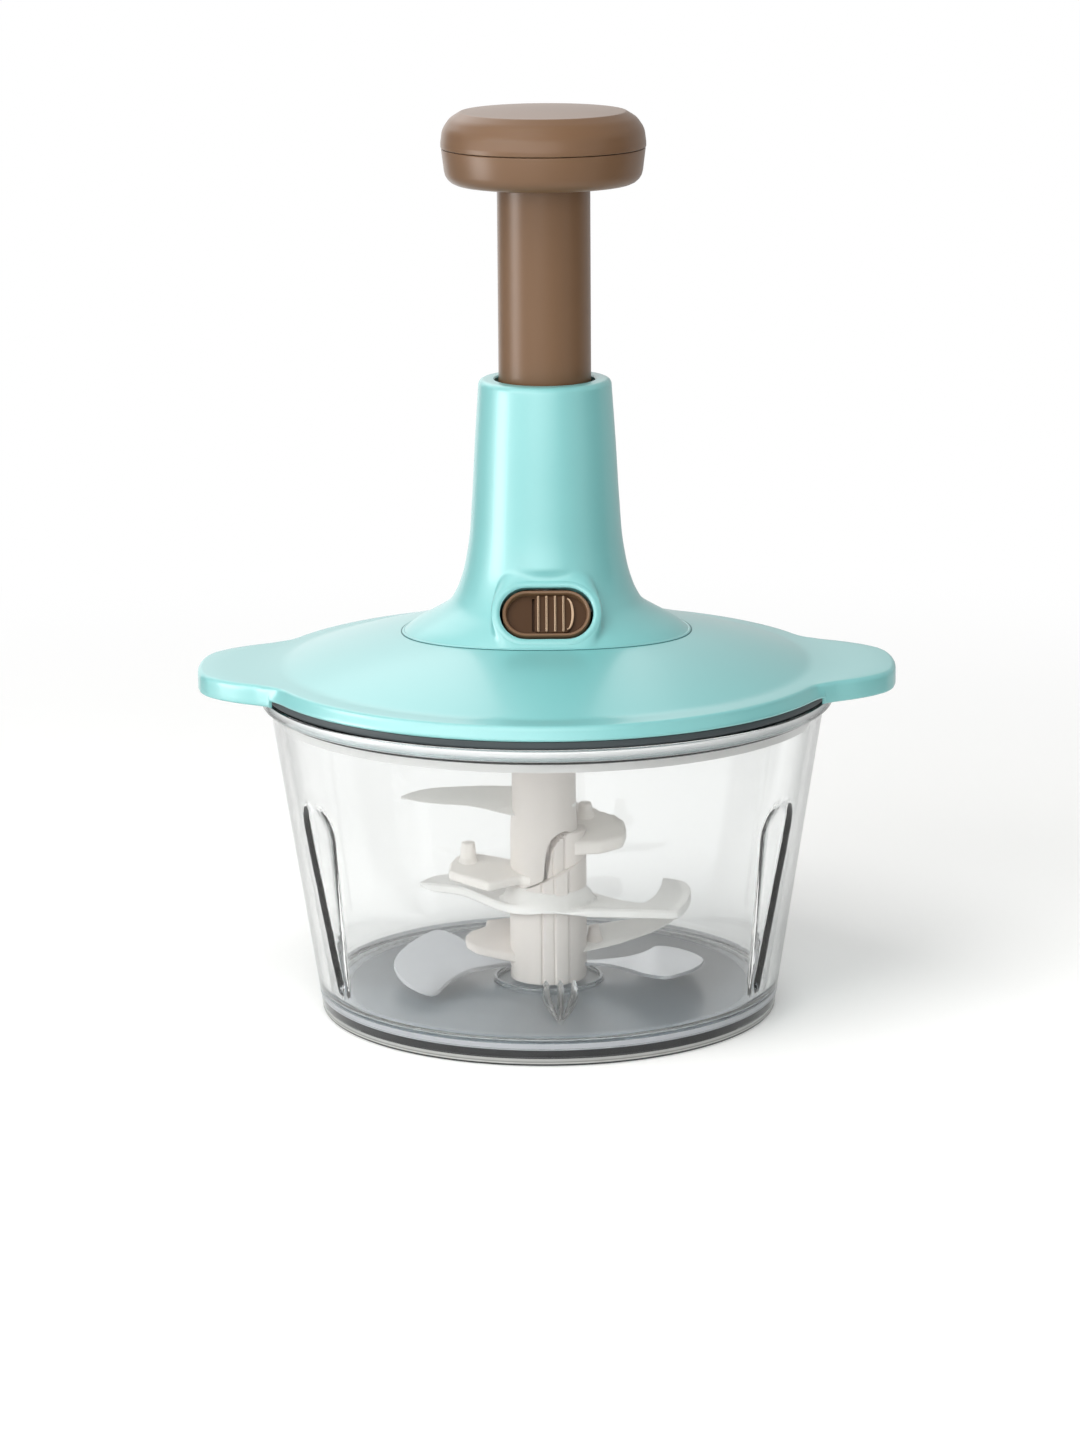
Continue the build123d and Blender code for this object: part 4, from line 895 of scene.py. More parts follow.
# Lid: for each angle a closed profile from the tower's seat over the dome, the rim or ear, and back under it.
# The outline reaches out by the ear's share, read from its table by angle and smoothed. Columns are finer
# over the ears, and two close ones on each side of an ear keep the step in its underside sharp.
def lidShape():
    p = lid
    steps = [turn + side * (p["earStep"] + d) for turn in (0, 180) for side in (-1, 1) for d in (-0.1, 0.1)]
    degrees = [np.arange(0, 360, 1.5), np.arange(-30, 30, 0.4), np.arange(150, 210, 0.4), steps]
    degrees = np.unique(np.round(np.concatenate(degrees) % 360, 3))
    angles = np.radians(degrees)
    fold = np.abs((degrees + 90) % 180 - 90)
    fine = np.arange(-3, 40, 0.1)
    window = np.hanning(p["earSmooth"])
    share = np.interp(np.abs(fine), p["earAngles"], p["earShares"])
    share = np.convolve(share, window / window.sum(), mode="same")
    ear = np.where(fold > p["earEnd"], 0, np.interp(fold, fine[20:-20], share[20:-20]))
    onEar = easeBetween(0, 0.12, ear)
    outer = p["rimRadius"] + p["earReach"] * ear
    bottom = np.where(fold < p["earStep"], p["earBottom"], p["rimBottom"])
    edge = p["edgeRound"] + p["earRound"] * onEar
    topOuter = outer - p["rimDraft"] * (1 - onEar)
    rows = []

    def row(radius, height):
        rows.append((np.broadcast_to(radius, angles.shape), np.broadcast_to(height, angles.shape)))

    seat = ovalRadius(p["seatX"], p["seatY"], angles)
    lip = ovalRadius(p["seatX"] + p["seatLip"], p["seatY"] + p["seatLip"], angles)
    hole = ovalRadius(p["seatX"] - p["seatLedge"], p["seatY"] - p["seatLedge"], angles)
    row(hole, p["seatHeight"])
    row(seat, p["seatHeight"])
    for t, under in ((0, 0.5), (0.12, 0.22), (0.45, 0.06)):
        row(seat + t * (lip - seat), domeHeight(seat) - under)
    row(lip, domeHeight(lip))
    for t in np.linspace(0.03, 1, 26):
        r = lip + t * (p["domeEnd"] - lip)
        row(r, domeHeight(r))

    # The dome meets the flat band at a soft crease, a quadratic curve with its corner at the dome's edge.
    end, start, corner = p["domeEnd"], p["bandStart"], p["domeEdge"]
    bandSlope = (p["rimTop"] - p["domeEdgeHeight"]) / (p["rimRadius"] - p["rimDraft"] - corner)

    def bandHeight(radius):
        return p["domeEdgeHeight"] + bandSlope * (radius - corner)

    for t in np.linspace(0.2, 1, 5):
        shares = (1 - t) ** 2, 2 * t * (1 - t), t**2
        row(
            shares[0] * end + shares[1] * corner + shares[2] * start,
            shares[0] * domeHeight(end) + shares[1] * p["domeEdgeHeight"] + shares[2] * bandHeight(start),
        )
    inner = np.minimum(p["bandEnd"], topOuter - edge)
    row((start + inner) / 2, bandHeight((start + inner) / 2))
    for t in (0, 0.33, 0.67):
        row(inner + t * (topOuter - edge - inner), p["rimTop"])
    for q in np.linspace(0, math.pi / 2, 6):
        row(topOuter - edge + edge * math.sin(q), p["rimTop"] - edge + edge * math.cos(q))
    low = p["lowRound"]
    for t in np.linspace(0.25, 1, 4):
        row(topOuter + t * (outer - topOuter), p["rimTop"] - edge + t * (bottom + low - p["rimTop"] + edge))
    for q in np.linspace(0.3, math.pi / 2, 5):
        row(outer - low + low * math.cos(q), bottom + low - low * math.sin(q))

    under = np.minimum(outer - low, p["earInner"])
    foot, soft = p["skirtBottom"], p["skirtRound"]
    for radius, height in (
        (under, bottom), (under, p["rimBottom"]), (p["rimInner"], p["rimBottom"]),
        (p["rimInner"], p["sealSeat"]), (p["skirtOuter"], p["sealSeat"]), (p["skirtOuter"], foot + soft),
        (p["skirtOuter"] - soft, foot), (p["skirtInner"] + soft, foot), (p["skirtInner"], foot + soft),
    ):
        row(radius, height)
    collar = ovalRadius(p["collarX"], p["collarY"], angles)
    for t in np.linspace(0, 1, 9):
        r = p["skirtInner"] + t * (collar - p["skirtInner"])
        row(r, domeHeight(r) - p["wall"])
    row(collar, p["collarBottom"])
    row(hole, p["collarBottom"])
    radius, height = np.array([r for r, _ in rows]), np.array([z for _, z in rows])
    return gridShape(ringSurface(radius, height, angles), closeRows=True)


makePiece("domedLid", [lidShape()], "lid", turquoise, ["lid_shell"], sharpAngle=40)

# Seal. The sleeve's thickness is given below and above the lower lip.
seal = {
    "lip": 88.3, "lipBottom": 101.9, "lipTop": 104.5, "inner": 82.0, "step": 86.9, "seat": 106.4,
    "lowerLip": (96.5, 97.5), "lowerReach": 0.6, "sleeveFoot": 94.0, "sleeveThickness": (0.2, 0.45),
}
ringAngles = np.radians(np.arange(0, 360, 1.5))


# Closed profile with rounded corners, turned about z.
def turnedShape(corners, angles, steps=6):
    profile = roundCorners(corners, steps)
    return gridShape(ringSurface(profile[:, 0], profile[:, 1], angles), closeRows=True)


# Upper lip: an L-shaped profile under the lid's rim.
def upperLip():
    s = seal
    corners = [
        (s["inner"], s["lipBottom"], 0.4), (s["lip"], s["lipBottom"], 0.8), (s["lip"], s["lipTop"], 0.6),
        (s["step"], s["lipTop"], 0), (s["step"], s["seat"], 0), (s["inner"], s["seat"], 0),
    ]
    return turnedShape(corners, ringAngles, steps=5)


# Small second lip lower down on the lid's skirt.
def lowerLip():
    s = seal
    (low, high), reach = s["lowerLip"], s["inner"] + s["lowerReach"]
    corners = [(s["inner"], low, 0), (reach, low, 0.2), (reach, high, 0.2), (s["inner"], high, 0)]
    return turnedShape(corners, ringAngles, steps=5)


# Thin sleeve round the skirt and the rim of the inner plate, thicker above than below.
def sleeveShape():
    s = seal
    thin, thick = s["sleeveThickness"]
    corners = [
        (s["inner"], s["sleeveFoot"], 0), (s["inner"] + thin, s["sleeveFoot"], 0),
        (s["inner"] + thick, s["lowerLip"][1], 0), (s["inner"] + thick, s["lipBottom"], 0),
        (s["inner"], s["lipBottom"], 0),
    ]
    return turnedShape(corners, ringAngles, steps=5)


makePiece("lidSeal", [upperLip()], "lid", silicone, ["lid_seal"])
makePiece("sealLowerLip", [lowerLip()], "lid", black)
# Painted light and shade: the sleeve's rings, seen through the clear flange.
makePiece("sealSleeve", [sleeveShape()], "lid", paleSilicone)

# Tower. Rows: height, and half widths along x and y. The hollow is a list of (radius, height), and hollowNeck
# has half widths and height of the oval where the hollow opens.
tower = {
    "seat": 115.0, "footX": 44.0, "footY": 36.0, "footLift": 0.15, "footRound": 0.25, "footEdge": 119.2,
    "footFine": 121.6, "neckStart": 131.5, "neckFine": 145, "neckEnd": 196.0, "topRadius": 20.4, "top": 197.6,
    "mouth": 15.4, "mouthBlend": 1.8, "mouthEdge": 0.4, "wall": 2.5, "sleeve": 18.0,
    "sleeveTop": 195.6, "sleeveBottom": 171.6, "hollow": ((21.0, 160.0), (22.2, 148.0), (24.6, 134.0)),
    "hollowNeck": (27.0, 26.0, 126.0), "hollowFoot": 118.0,
    "rows": (
        (119.2, 44.0, 36.0), (119.9, 43.2, 35.6), (121.6, 41.0, 34.4), (124.4, 35.8, 32.4),
        (127.6, 30.6, 29.8), (131.5, 27.9, 27.9), (136.0, 26.1, 26.1), (145.4, 24.0, 24.0),
        (161.0, 22.6, 22.6), (176.6, 21.7, 21.7), (196.0, 20.4, 20.4),
    ),
}
# The lock's place in the tower: middle of its leaning plane, lean in degrees, and the flat land round it.
# frontFrom is minus the cosine to the plane's normal from which a way out from the axis counts as in front.
# Rim and bead are rows of (drawn in from the stadium's edge, height over the plane).
button = {
    "depth": 29.4, "height": 130.4, "lean": 30.0, "width": 28.0, "tall": 16.0, "opening": 0.5,
    "cutDepth": 12.0, "landWidth": 32.0, "landTall": 19.0, "landBlend": 5.0, "frontFrom": -0.2,
    "trayWidth": 24.3, "trayTall": 12.3, "trayHeights": (-3.3, -2.0),
    "stemSlot": ((-4.4, -5.2), (-3.6, -5.2), (-3.6, 5.2), (-4.4, 5.2)), "stemSlotHeights": (-3.2, -1.0),
    "rim": (
        (0.6, -3.4), (0.6, -0.7), (0.7, -0.3), (0.95, 0.0), (1.4, 0.0), (1.6, -0.12), (1.75, -0.5),
        (1.95, -1.75), (2.0, -3.4),
    ),
    "bead": (
        (-0.35, -0.6), (-0.45, 0.1), (-0.75, 0.32), (-1.2, 0.4), (-1.7, 0.3), (-2.2, 0.05), (-2.4, -0.6),
    ),
}


# Distance outside a stadium of that length and height, negative inside.
def stadiumDistance(x, y, length, tall):
    return np.hypot(np.maximum(np.abs(x) - (length - tall) / 2, 0), y) - tall / 2


# Outline of a stadium drawn in by an inset: two half circles round the same two centres.
def stadiumOutline(length, tall, inset=0.0):
    a = np.linspace(-math.pi / 2, math.pi / 2, 20)
    r, c = max(tall / 2 - inset, 0.0), (length - tall) / 2
    return np.concatenate(
        [np.stack([c + r * np.cos(a), r * np.sin(a)], 1), np.stack([-c - r * np.cos(a), -r * np.sin(a)], 1)]
    )


# Point on the button's leaning plane: middle + x right + y up the slope + h out of the plane.
def onButtonPlane(x, y, h):
    lean = math.radians(button["lean"])
    x, y, h = np.broadcast_arrays(x, y, h)
    forward = -button["depth"] + y * math.sin(lean) - h * math.cos(lean)
    return np.stack([x, forward, button["height"] + y * math.cos(lean) + h * math.sin(lean)], -1)


# Tower: oval rows that turn round on the way up. Near the button each point moves along its own radius to
# the leaning plane, by a weight that falls off outside the land's stadium. Columns are finer there.
def towerShape():
    w = tower
    degrees = np.unique(np.round(np.concatenate([np.arange(0, 360, 2.0), np.arange(215, 325, 0.75)]), 3))
    angles = np.radians(degrees)
    table = np.array(w["rows"])
    heights = [
        np.linspace(w["footEdge"], w["footFine"], 6), np.arange(w["footFine"], w["neckFine"], 0.75),
        np.arange(w["neckFine"], w["neckEnd"], 2.0), [w["neckEnd"]],
    ]
    heights = np.unique(np.concatenate(heights))
    half = smoothThrough(table[:, 0], table[:, 1:], heights)
    radius = ovalRadius(half[:, :1], half[:, 1:], angles[None, :])
    edge = domeHeight(ovalRadius(w["footX"], w["footY"], angles)) + w["footLift"]
    share = np.clip((w["neckStart"] - heights) / (w["neckStart"] - w["footEdge"]), 0, 1)[:, None]
    height = heights[:, None] + share * (edge - w["footEdge"])[None, :]

    lean = math.radians(button["lean"])
    away = np.sin(angles)[None, :] * math.cos(lean)
    inFront = away < button["frontFrom"]
    plane = (height - button["height"]) * math.sin(lean) - button["depth"] * math.cos(lean)
    plane = plane / np.where(inFront, away, -1)
    upSlope = (height - button["height"]) / math.cos(lean)
    across = plane * np.cos(angles)[None, :]
    outside = stadiumDistance(across, upSlope, button["landWidth"], button["landTall"])
    weight = 1 - easeBetween(0, button["landBlend"], outside)
    radius = np.where(inFront, radius + weight * (plane - radius), radius)

    foot = ovalRadius(w["footX"], w["footY"], angles)
    top, blend, mouth, soft = w["top"], w["mouthBlend"], w["mouth"], w["mouthEdge"]
    rimArc = [
        (w["topRadius"] - blend + blend * math.cos(q), top - blend + blend * math.sin(q))
        for q in np.linspace(0.2, math.pi / 2, 6)
    ]
    inside = [
        (mouth + soft, top), (mouth, top - soft), (mouth, w["sleeveTop"]), (w["sleeve"], w["sleeveTop"]),
        (w["sleeve"], w["sleeveBottom"]), *w["hollow"],
    ]
    level = np.ones((1, len(angles)))
    neckX, neckY, neckHeight = w["hollowNeck"]
    inner = ovalRadius(w["footX"] - w["wall"], w["footY"] - w["wall"], angles)
    wide = np.concatenate(
        [
            foot[None], foot[None], radius, *[r * level for r, _ in rimArc + inside],
            ovalRadius(neckX, neckY, angles)[None], inner[None], inner[None],
        ]
    )
    tall = np.concatenate(
        [
            w["seat"] * level, (edge - w["footRound"])[None], height,
            *[z * level for _, z in rimArc + inside], neckHeight * level, w["hollowFoot"] * level,
            w["seat"] * level,
        ]
    )
    return gridShape(ringSurface(wide, tall, angles), closeRows=True)


# Block that stands on the leaning plane, from a flat outline and two heights.
def planeBlock(outline, heights):
    outline, heights = np.array(outline), np.array(heights)
    return gridShape(onButtonPlane(outline[None, :, 0], outline[None, :, 1], heights[:, None]), caps=True)


# Ring round the button: stadium rows, each drawn in by an inset and set at a height over the leaning plane.
def stadiumRing(rows):
    points = []
    for inset, high in rows:
        outline = stadiumOutline(button["width"], button["tall"], inset)
        points.append(onButtonPlane(outline[:, 0], outline[:, 1], high))
    return gridShape(np.array(points), closeRows=True)


opening = planeBlock(
    stadiumOutline(button["width"] + button["opening"], button["tall"] + button["opening"]),
    (-button["cutDepth"], button["cutDepth"]),
)
makePiece(
    "tower", [towerShape()], "lid", turquoise, ["tower_shell"], sharpAngle=40,
    cutters=[[opening]],
)
tray = planeBlock(stadiumOutline(button["trayWidth"], button["trayTall"]), button["trayHeights"])
stemSlot = planeBlock(button["stemSlot"], button["stemSlotHeights"])
# Painted shade: the recessed tray floor takes the darker brown.
makePiece("trayFloor", [tray], "lid", shadedBrown, ["lock_frame"], cutters=[[stemSlot]])
makePiece("trayRim", [stadiumRing(button["rim"])], "lid", brown)
makePiece("towerBead", [stadiumRing(button["bead"])], "lid", turquoise)

# Rings where the tower's foot meets the dome: rows of (outside the foot's oval, above the dome).
footRings = {
    "bead": ((-0.4, -0.3), (-0.3, 0.12), (-0.05, 0.32), (0.25, 0.36), (0.55, 0.24), (0.75, 0.0), (0.8, -0.3)),
    "joint": ((0.6, -0.3), (0.65, 0.14), (1.0, 0.14), (1.05, -0.3)),
}


# Oval ring on the dome: each row is the foot's oval drawn out by a reach, at a rise over the dome.
def footRing(rows):
    radius = [ovalRadius(tower["footX"] + reach, tower["footY"] + reach, ringAngles) for reach, _ in rows]
    height = domeHeight(np.array(radius)) + np.array([rise for _, rise in rows])[:, None]
    return gridShape(ringSurface(np.array(radius), height, ringAngles), closeRows=True)


makePiece("footBead", [footRing(footRings["bead"])], "lid", turquoise)
# Painted shadow: a dark ring laid in the joint between the tower's foot and the lid.
makePiece("footSeamPaintedShadow", [footRing(footRings["joint"])], "lid", jointShadow)

# Slider. Heights are over the button's plane.
slider = {
    "left": -3.5, "flatRight": 5.4, "right": 8.3, "half": 5.9, "bottom": -1.9, "top": -1.1, "corner": 1.2,
    "edge": 0.3, "ridges": (-2.5, 0.0, 2.6, 5.1), "ridgeHalf": 0.33, "ridgeRise": 1.0, "ridgeEnd": 0.2,
    "thumbX": 6.3, "thumbReach": 2.0, "thumbRise": 0.45, "thumbEnd": 0.9, "thumbEdge": 0.12,
    "thumbInnerX": 6.15, "thumbInnerReach": 1.4,
}


# A plate from a flat outline, stood on the button's plane.
def platePiece(outline, bottom, top, edge):
    points, faces = plateShape(outline, bottom, top, edge)
    return onButtonPlane(points[:, 0], points[:, 1], points[:, 2]), faces


# An arc of half an ellipse that bulges to the right, from its lower to its upper end.
def bulgeArc(x, reach, half):
    a = np.linspace(-math.pi / 2, math.pi / 2, 18)
    return np.stack([x + reach * np.cos(a), half * np.sin(a)], 1)


# Slider: a D-shaped plate whose right end is one arc.
def sliderPlate():
    s = slider
    right, left, half = s["flatRight"], s["left"], s["half"]
    corners = [(right, half, 0), (left, half, s["corner"]), (left, -half, s["corner"]), (right, -half, 0)]
    straight = roundCorners(corners, steps=6, closed=False)
    outline = np.concatenate([bulgeArc(right, s["right"] - right, half), straight[1:-1]])
    return platePiece(outline, s["bottom"], s["top"], s["edge"])


# Grip of the slider: upright round-topped ridges, and a crescent between two arcs.
def sliderGrip():
    s = slider
    foot, half, reach = s["top"] - s["edge"], s["ridgeHalf"], s["half"] - s["ridgeEnd"]
    shapes = []
    for x in s["ridges"]:
        corners = [(x - half, -reach), (x + half, -reach), (x + half, reach), (x - half, reach)]
        bar = roundCorners([(*corner, s["edge"]) for corner in corners], steps=3)
        shapes.append(platePiece(bar, foot, s["top"] + s["ridgeRise"], s["edge"]))
    reach = s["half"] - s["thumbEnd"]
    outer = bulgeArc(s["thumbX"], s["thumbReach"], reach)
    inner = bulgeArc(s["thumbInnerX"], s["thumbInnerReach"], reach - 0.3)[::-1]
    shapes.append(platePiece(np.concatenate([outer, inner]), foot, s["top"] + s["thumbRise"], s["thumbEdge"]))
    return shapes


# Painted shade on the slider plate, and painted highlight on its grip.
makePiece("sliderPlate", [sliderPlate()], "lock", shadedBrown, ["lock_button"])
makePiece("sliderGrip", sliderGrip(), "lock", gripHighlightBrown)

# Plunger and knob
tube = {"outer": 14.15, "inner": 12.0, "bottom": 156.5, "flange": 20.5, "flangeBottom": 260.0, "top": 262.5}
knob = {
    "bottom": 257.0, "seam": 268.0, "seamGap": 0.1, "top": 280.0, "bottomRadius": 29.6, "radius": 31.1,
    "shoulder": 269.6, "crownRadius": 25.2, "crownSag": 1.2, "bore": 26.6, "floor": 260.0, "groove": 0.3,
    "bottomRound": 4.6, "lowerInset": 0.15, "tubeGap": 0.1, "plug": 3.0, "hollowRadius": 24.0,
    "hollowTop": 270.6,
}
roundAngles = np.radians(np.arange(0, 360, 2.0))


def tubeShape():
    t = tube
    corners = [
        (t["inner"], t["bottom"], 0.3), (t["outer"], t["bottom"], 0.5), (t["outer"], t["flangeBottom"], 0.3),
        (t["flange"], t["flangeBottom"], 0.3), (t["flange"], t["top"], 0.3), (t["inner"], t["top"], 0.3),
    ]
    return turnedShape(corners, roundAngles)


def knobLowerShape():
    k, inner = knob, tube["outer"] + knob["tubeGap"]
    seam = k["seam"] - k["seamGap"]
    corners = [
        (inner, k["bottom"], 0.3), (k["bottomRadius"], k["bottom"], k["bottomRound"]),
        (k["radius"] - k["lowerInset"], seam, k["groove"]), (k["bore"], seam, 0),
        (k["bore"], k["floor"], 0.5), (inner, k["floor"], 0.3),
    ]
    return turnedShape(corners, roundAngles)


# Knob top: a straight side over the parting line, a quarter round of large radius, a soft crease, and the
# shallow crown, part of a large ball.
def knobTopShape():
    k = knob
    ball = (k["crownRadius"] ** 2 + k["crownSag"] ** 2) / (2 * k["crownSag"])
    crown = np.linspace(0, k["crownRadius"] - 1.2, 14)
    crownHeight = k["top"] - ball + np.sqrt(ball**2 - crown**2)
    seam, plug, bore = k["seam"] + k["seamGap"], k["seam"] - k["plug"], k["bore"] - 0.1
    corners = [
        (crown[-1], crownHeight[-1], 0), (k["crownRadius"], k["top"] - k["crownSag"], 1.6),
        (k["crownRadius"] + 3.2, k["top"] - 3.2, 5.0), (k["radius"] - 0.5, k["shoulder"] + 4.0, 6.0),
        (k["radius"], k["shoulder"], 2.5), (k["radius"], seam, k["groove"]), (bore, seam, 0),
        (bore, plug, 0.4), (k["hollowRadius"], plug, 0.4), (k["hollowRadius"], k["hollowTop"], 0.6),
        (0, k["hollowTop"], 0),
    ]
    side = roundCorners(corners, steps=7, closed=False)
    profile = np.concatenate([np.stack([crown, crownHeight], 1), side[1:]])
    return gridShape(ringSurface(profile[:, 0], profile[:, 1], roundAngles))


makePiece("plungerTube", [tubeShape()], "plunger", brown, ["plunger_tube"])
makePiece("knobLower", [knobLowerShape()], "plunger", brown, ["knob_base"])
makePiece("knobUpper", [knobTopShape()], "plunger", brown, ["knob_cap"])

# Blade tower. The flare is how far the upper hub's foot stands out at a height. The arch is the outline of
# the door-shaped opening in its front, as (x, height). Its first points, archLeft of them, are the left side,
# and the lower hub's column steps in along it.
hub = {
    "bottom": 8.5, "top": 92.0, "lowerRadius": 12.0, "upperRadius": 10.0, "upperMiddle": -1.2, "bore": 5.7,
    "columnNarrow": 6.4, "columnFront": 9.3, "columnWide": 11.8, "columnWideTop": 56.3, "columnTop": 60.0,
    "widenFrom": 0.45, "widenTo": 0.9, "archGap": (0.7, 1.5), "archGapHeights": (36, 54), "archLift": 0.8,
    "archStep": (-0.25, 0.15), "seam": 42.5, "seamGap": 0.1, "seamTilt": math.tan(math.radians(26)),
    "socketBottom": 71.1, "socketHalf": 6.8, "panelX": 4.2, "panelHalf": 2.2, "panelRise": 0.35,
    "panelGroove": 0.35, "creaseX": -2.0, "creaseDeep": 0.6, "grooveHalf": 0.3,
    "flare": ((0.0, 66.0), (0.1, 62.0), (0.45, 58.5), (0.6, 55.0)),
    "arch": (
        (-2.6, 31.0), (-1.95, 38.9), (-1.45, 43.1), (-0.95, 47.9), (-0.3, 52.2), (1.4, 55.4), (4.3, 57.1),
        (6.3, 56.9), (7.7, 55.5), (8.25, 54.0), (8.3, 50.8), (8.3, 31.0),
    ),
    "archLeft": 7, "archFront": -20.0, "archBack": -2.0,
}
# Angles round both hubs, finer in front
hubDegrees = np.concatenate([np.arange(0, 360, 3.0), np.arange(255, 325, 0.6)])
hubAngles = np.radians(np.unique(np.round(hubDegrees, 3)))


# Height of the slanting seam between the two hubs at a distance from the axis, for each angle.
def seamHeight(radius):
    return hub["seam"] + hub["seamTilt"] * radius * np.cos(hubAngles)


# How far the front panel stands out at an angle: a soft-edged strip of the same width over a round hub, with
# a small groove, shaped like a bell curve, along each of its two edges, and a deeper one further left.
def panelRise(radius, angles):
    h = hub
    across = radius * np.cos(angles) - h["panelX"]
    inside = 1 - easeBetween(h["panelHalf"] - 0.5, h["panelHalf"] + 0.1, np.abs(across))
    groove = np.exp(-(((np.abs(across) - h["panelHalf"]) / h["grooveHalf"]) ** 2))
    crease = np.exp(-(((radius * np.cos(angles) - h["creaseX"]) / h["grooveHalf"]) ** 2))
    rise = h["panelRise"] * inside - h["panelGroove"] * groove - h["creaseDeep"] * crease
    return rise * (np.sin(angles) < 0)


# Lower hub: a closed profile turned about z, whose shoulder lies on the slanting seam plane. The column above
# it widens to the right by the cosine of the angle. To the left it steps in along the arch's edge, behind a
# gap. Each row is (radius, height, how much of the panel's rise it takes).
def lowerHubShape():
    h, a = hub, hubAngles
    low, bottom, wideTop, top = h["lowerRadius"], h["bottom"], h["columnWideTop"], h["columnTop"]
    widen = easeBetween(h["widenFrom"], h["widenTo"], np.cos(a))
    front = h["columnFront"] + (h["columnWide"] - h["columnFront"]) * widen
    narrow = h["columnNarrow"] + 0.4
    shoulder = seamHeight(low) - h["seamGap"]

    foot = seamHeight(front) - h["seamGap"]
    columnHeight = foot + np.linspace(0, 1, 18)[:, None] * (wideTop - foot)
    arch = np.array(h["arch"][: h["archLeft"]])
    gap = np.interp(columnHeight, h["archGapHeights"], h["archGap"])
    edge = np.interp(columnHeight + h["archLift"], arch[:, 1], arch[:, 0]) + gap
    wide = easeBetween(*h["archStep"], front * np.cos(a) - edge)
    column = h["columnNarrow"] + (front - h["columnNarrow"]) * wide

    rows = [
        (h["bore"], bottom, 0), (low - 0.6, bottom, 1), (low - 0.15, bottom + 0.15, 1),
        (low, bottom + 0.6, 1), (low, shoulder - 0.5, 1), (low - 0.15, shoulder - 0.15, 1),
        *[(radius, height, 1) for radius, height in zip(column, columnHeight)],
        (column[-1] - 0.4, wideTop + 0.2, 0.8), (narrow, wideTop + 0.2, 0.5), (narrow, top - 0.5, 0.5),
        (narrow - 0.5, top, 0.4), (h["bore"], top, 0),
    ]
    level = np.ones_like(a)
    rise = panelRise(low, a)
    radius = np.array([r * level + share * rise for r, _, share in rows])
    height = np.array([z * level for _, z, _ in rows])
    return gridShape(ringSurface(radius, height, a), closeRows=True)


# Radius, seen from the axis, of a circle whose middle is set off along x: m cos a + sqrt(R^2 - (m sin a)^2).
def offsetCircle(radius, middle, angles):
    return middle * np.cos(angles) + np.sqrt(radius**2 - (middle * np.sin(angles)) ** 2)


# Upper hub: a profile from axis to axis, with a six-sided socket above and the slanting seam below. It flares
# at its foot.
def upperHubShape():
    h, a = hub, hubAngles
    socket = h["socketHalf"] / np.cos((a % (math.pi / 3)) - math.pi / 6)
    u, top = offsetCircle(h["upperRadius"], h["upperMiddle"], a), h["top"]
    rows = [
        (0, h["socketBottom"]), (socket, h["socketBottom"]), (socket, top - 0.3), (socket + 0.3, top),
        (u - 0.5, top), (u - 0.12, top - 0.12), (u, top - 0.5),
        *[(u + out, z) for out, z in h["flare"]], (u + 0.5, seamHeight(u) + 0.5),
        (u + 0.3, seamHeight(u) + 0.12), (u - 0.1, seamHeight(u - 0.1)), (0, seamHeight(0)),
    ]
    level = np.ones_like(a)
    radius, height = np.array([r * level for r, _ in rows]), np.array([z * level for _, z in rows])
    return gridShape(ringSurface(radius, height, a))


# Arch cut in the upper hub: a door-shaped outline carried along y from the front towards the middle.
def archCutter():
    table = np.array(hub["arch"])
    door = smoothThrough(np.arange(len(table)), table, np.linspace(0, len(table) - 1, 56))
    y = np.array([[hub["archFront"]], [hub["archBack"]]])
    return [gridShape(np.stack(np.broadcast_arrays(door[:, 0], y, door[:, 1]), -1), caps=True)]


# Arms. An outline's corner is (x, y, radius), heights are of an arm's two faces at the axis, and slope is how
# much it rises along y. A peg is (x, y, foot, height, radius).
arms = {
    "right": {
        "outline": (
            (4, -8, 0), (8.6, -8.0, 1), (16.5, -7.2, 5), (23.4, -3.6, 2.2), (24.6, 1.5, 2.0),
            (23.9, 6.4, 0.4), (21.9, 6.6, 0.4), (21.4, 9.8, 0.4), (19.0, 10.4, 0.4), (18.4, 11.6, 0.3),
            (16.9, 12.0, 0.4), (13.4, 16.2, 3), (8.2, 18.6, 2), (3, 9, 0),
        ),
        "heights": (51.2, 55.6), "slope": 0.26, "edge": 1.0,
    },
    "left": {
        "outline": (
            (-3, 8, 0), (-11.4, 4.6, 1), (-22.4, 9.6, 2), (-28.8, 7.4, 1.5), (-30.6, 2.0, 1.5),
            (-31.0, -4.8, 1.2), (-18.4, -14.4, 1.5), (-16.4, -13.4, 1.2), (-8.6, -8.6, 1.5),
            (-5.6, -9.8, 0.8), (-3, -8, 0),
        ),
        "heights": (41.4, 44.6), "slope": 0.14, "edge": 0.8,
    },
    "low": {
        "outline": (
            (-12, 12, 0.5), (-19.6, 10.8, 0.6), (-19.9, 7.9, 0.6), (-24.6, 5.6, 2), (-26.3, 3.2, 2),
            (-25.8, 0.6, 2), (-22.6, -2.2, 4), (-15.0, -4.8, 2), (-8, -6.6, 0), (-6, 8, 0),
        ),
        "heights": (16.6, 19.4), "slope": 0.42, "edge": 0.9,
    },
}
pegs = {
    "left": (-25.0, 3.0, 43.6, 7.6, 2.1), "knot": (11.8, 9.5, 57.0, 5.2, 1.9),
    "low": (14.4, 2.5, 18.5, 5.5, 1.6),
}


# Peg: a round post on a cone, as one profile turned about its own axis and moved to its place.
def pegShape(x, y, foot, height, radius):
    top = foot + height
    corners = [
        (0, foot, 0), (radius + 1.6, foot, 0), (radius + 0.5, foot + 2.6, 0.8), (radius, top, 0.7),
        (0, top, 0),
    ]
    profile = roundCorners(corners, steps=5, closed=False)
    points, faces = gridShape(ringSurface(profile[:, 0], profile[:, 1], np.radians(np.arange(0, 360, 10.0))))
    return points + np.array([x, y, 0.0]), faces


def armShape(arm):
    bottom, top = arm["heights"]
    return plateShape(roundCorners(arm["outline"]), bottom, top, arm["edge"], arm["slope"])


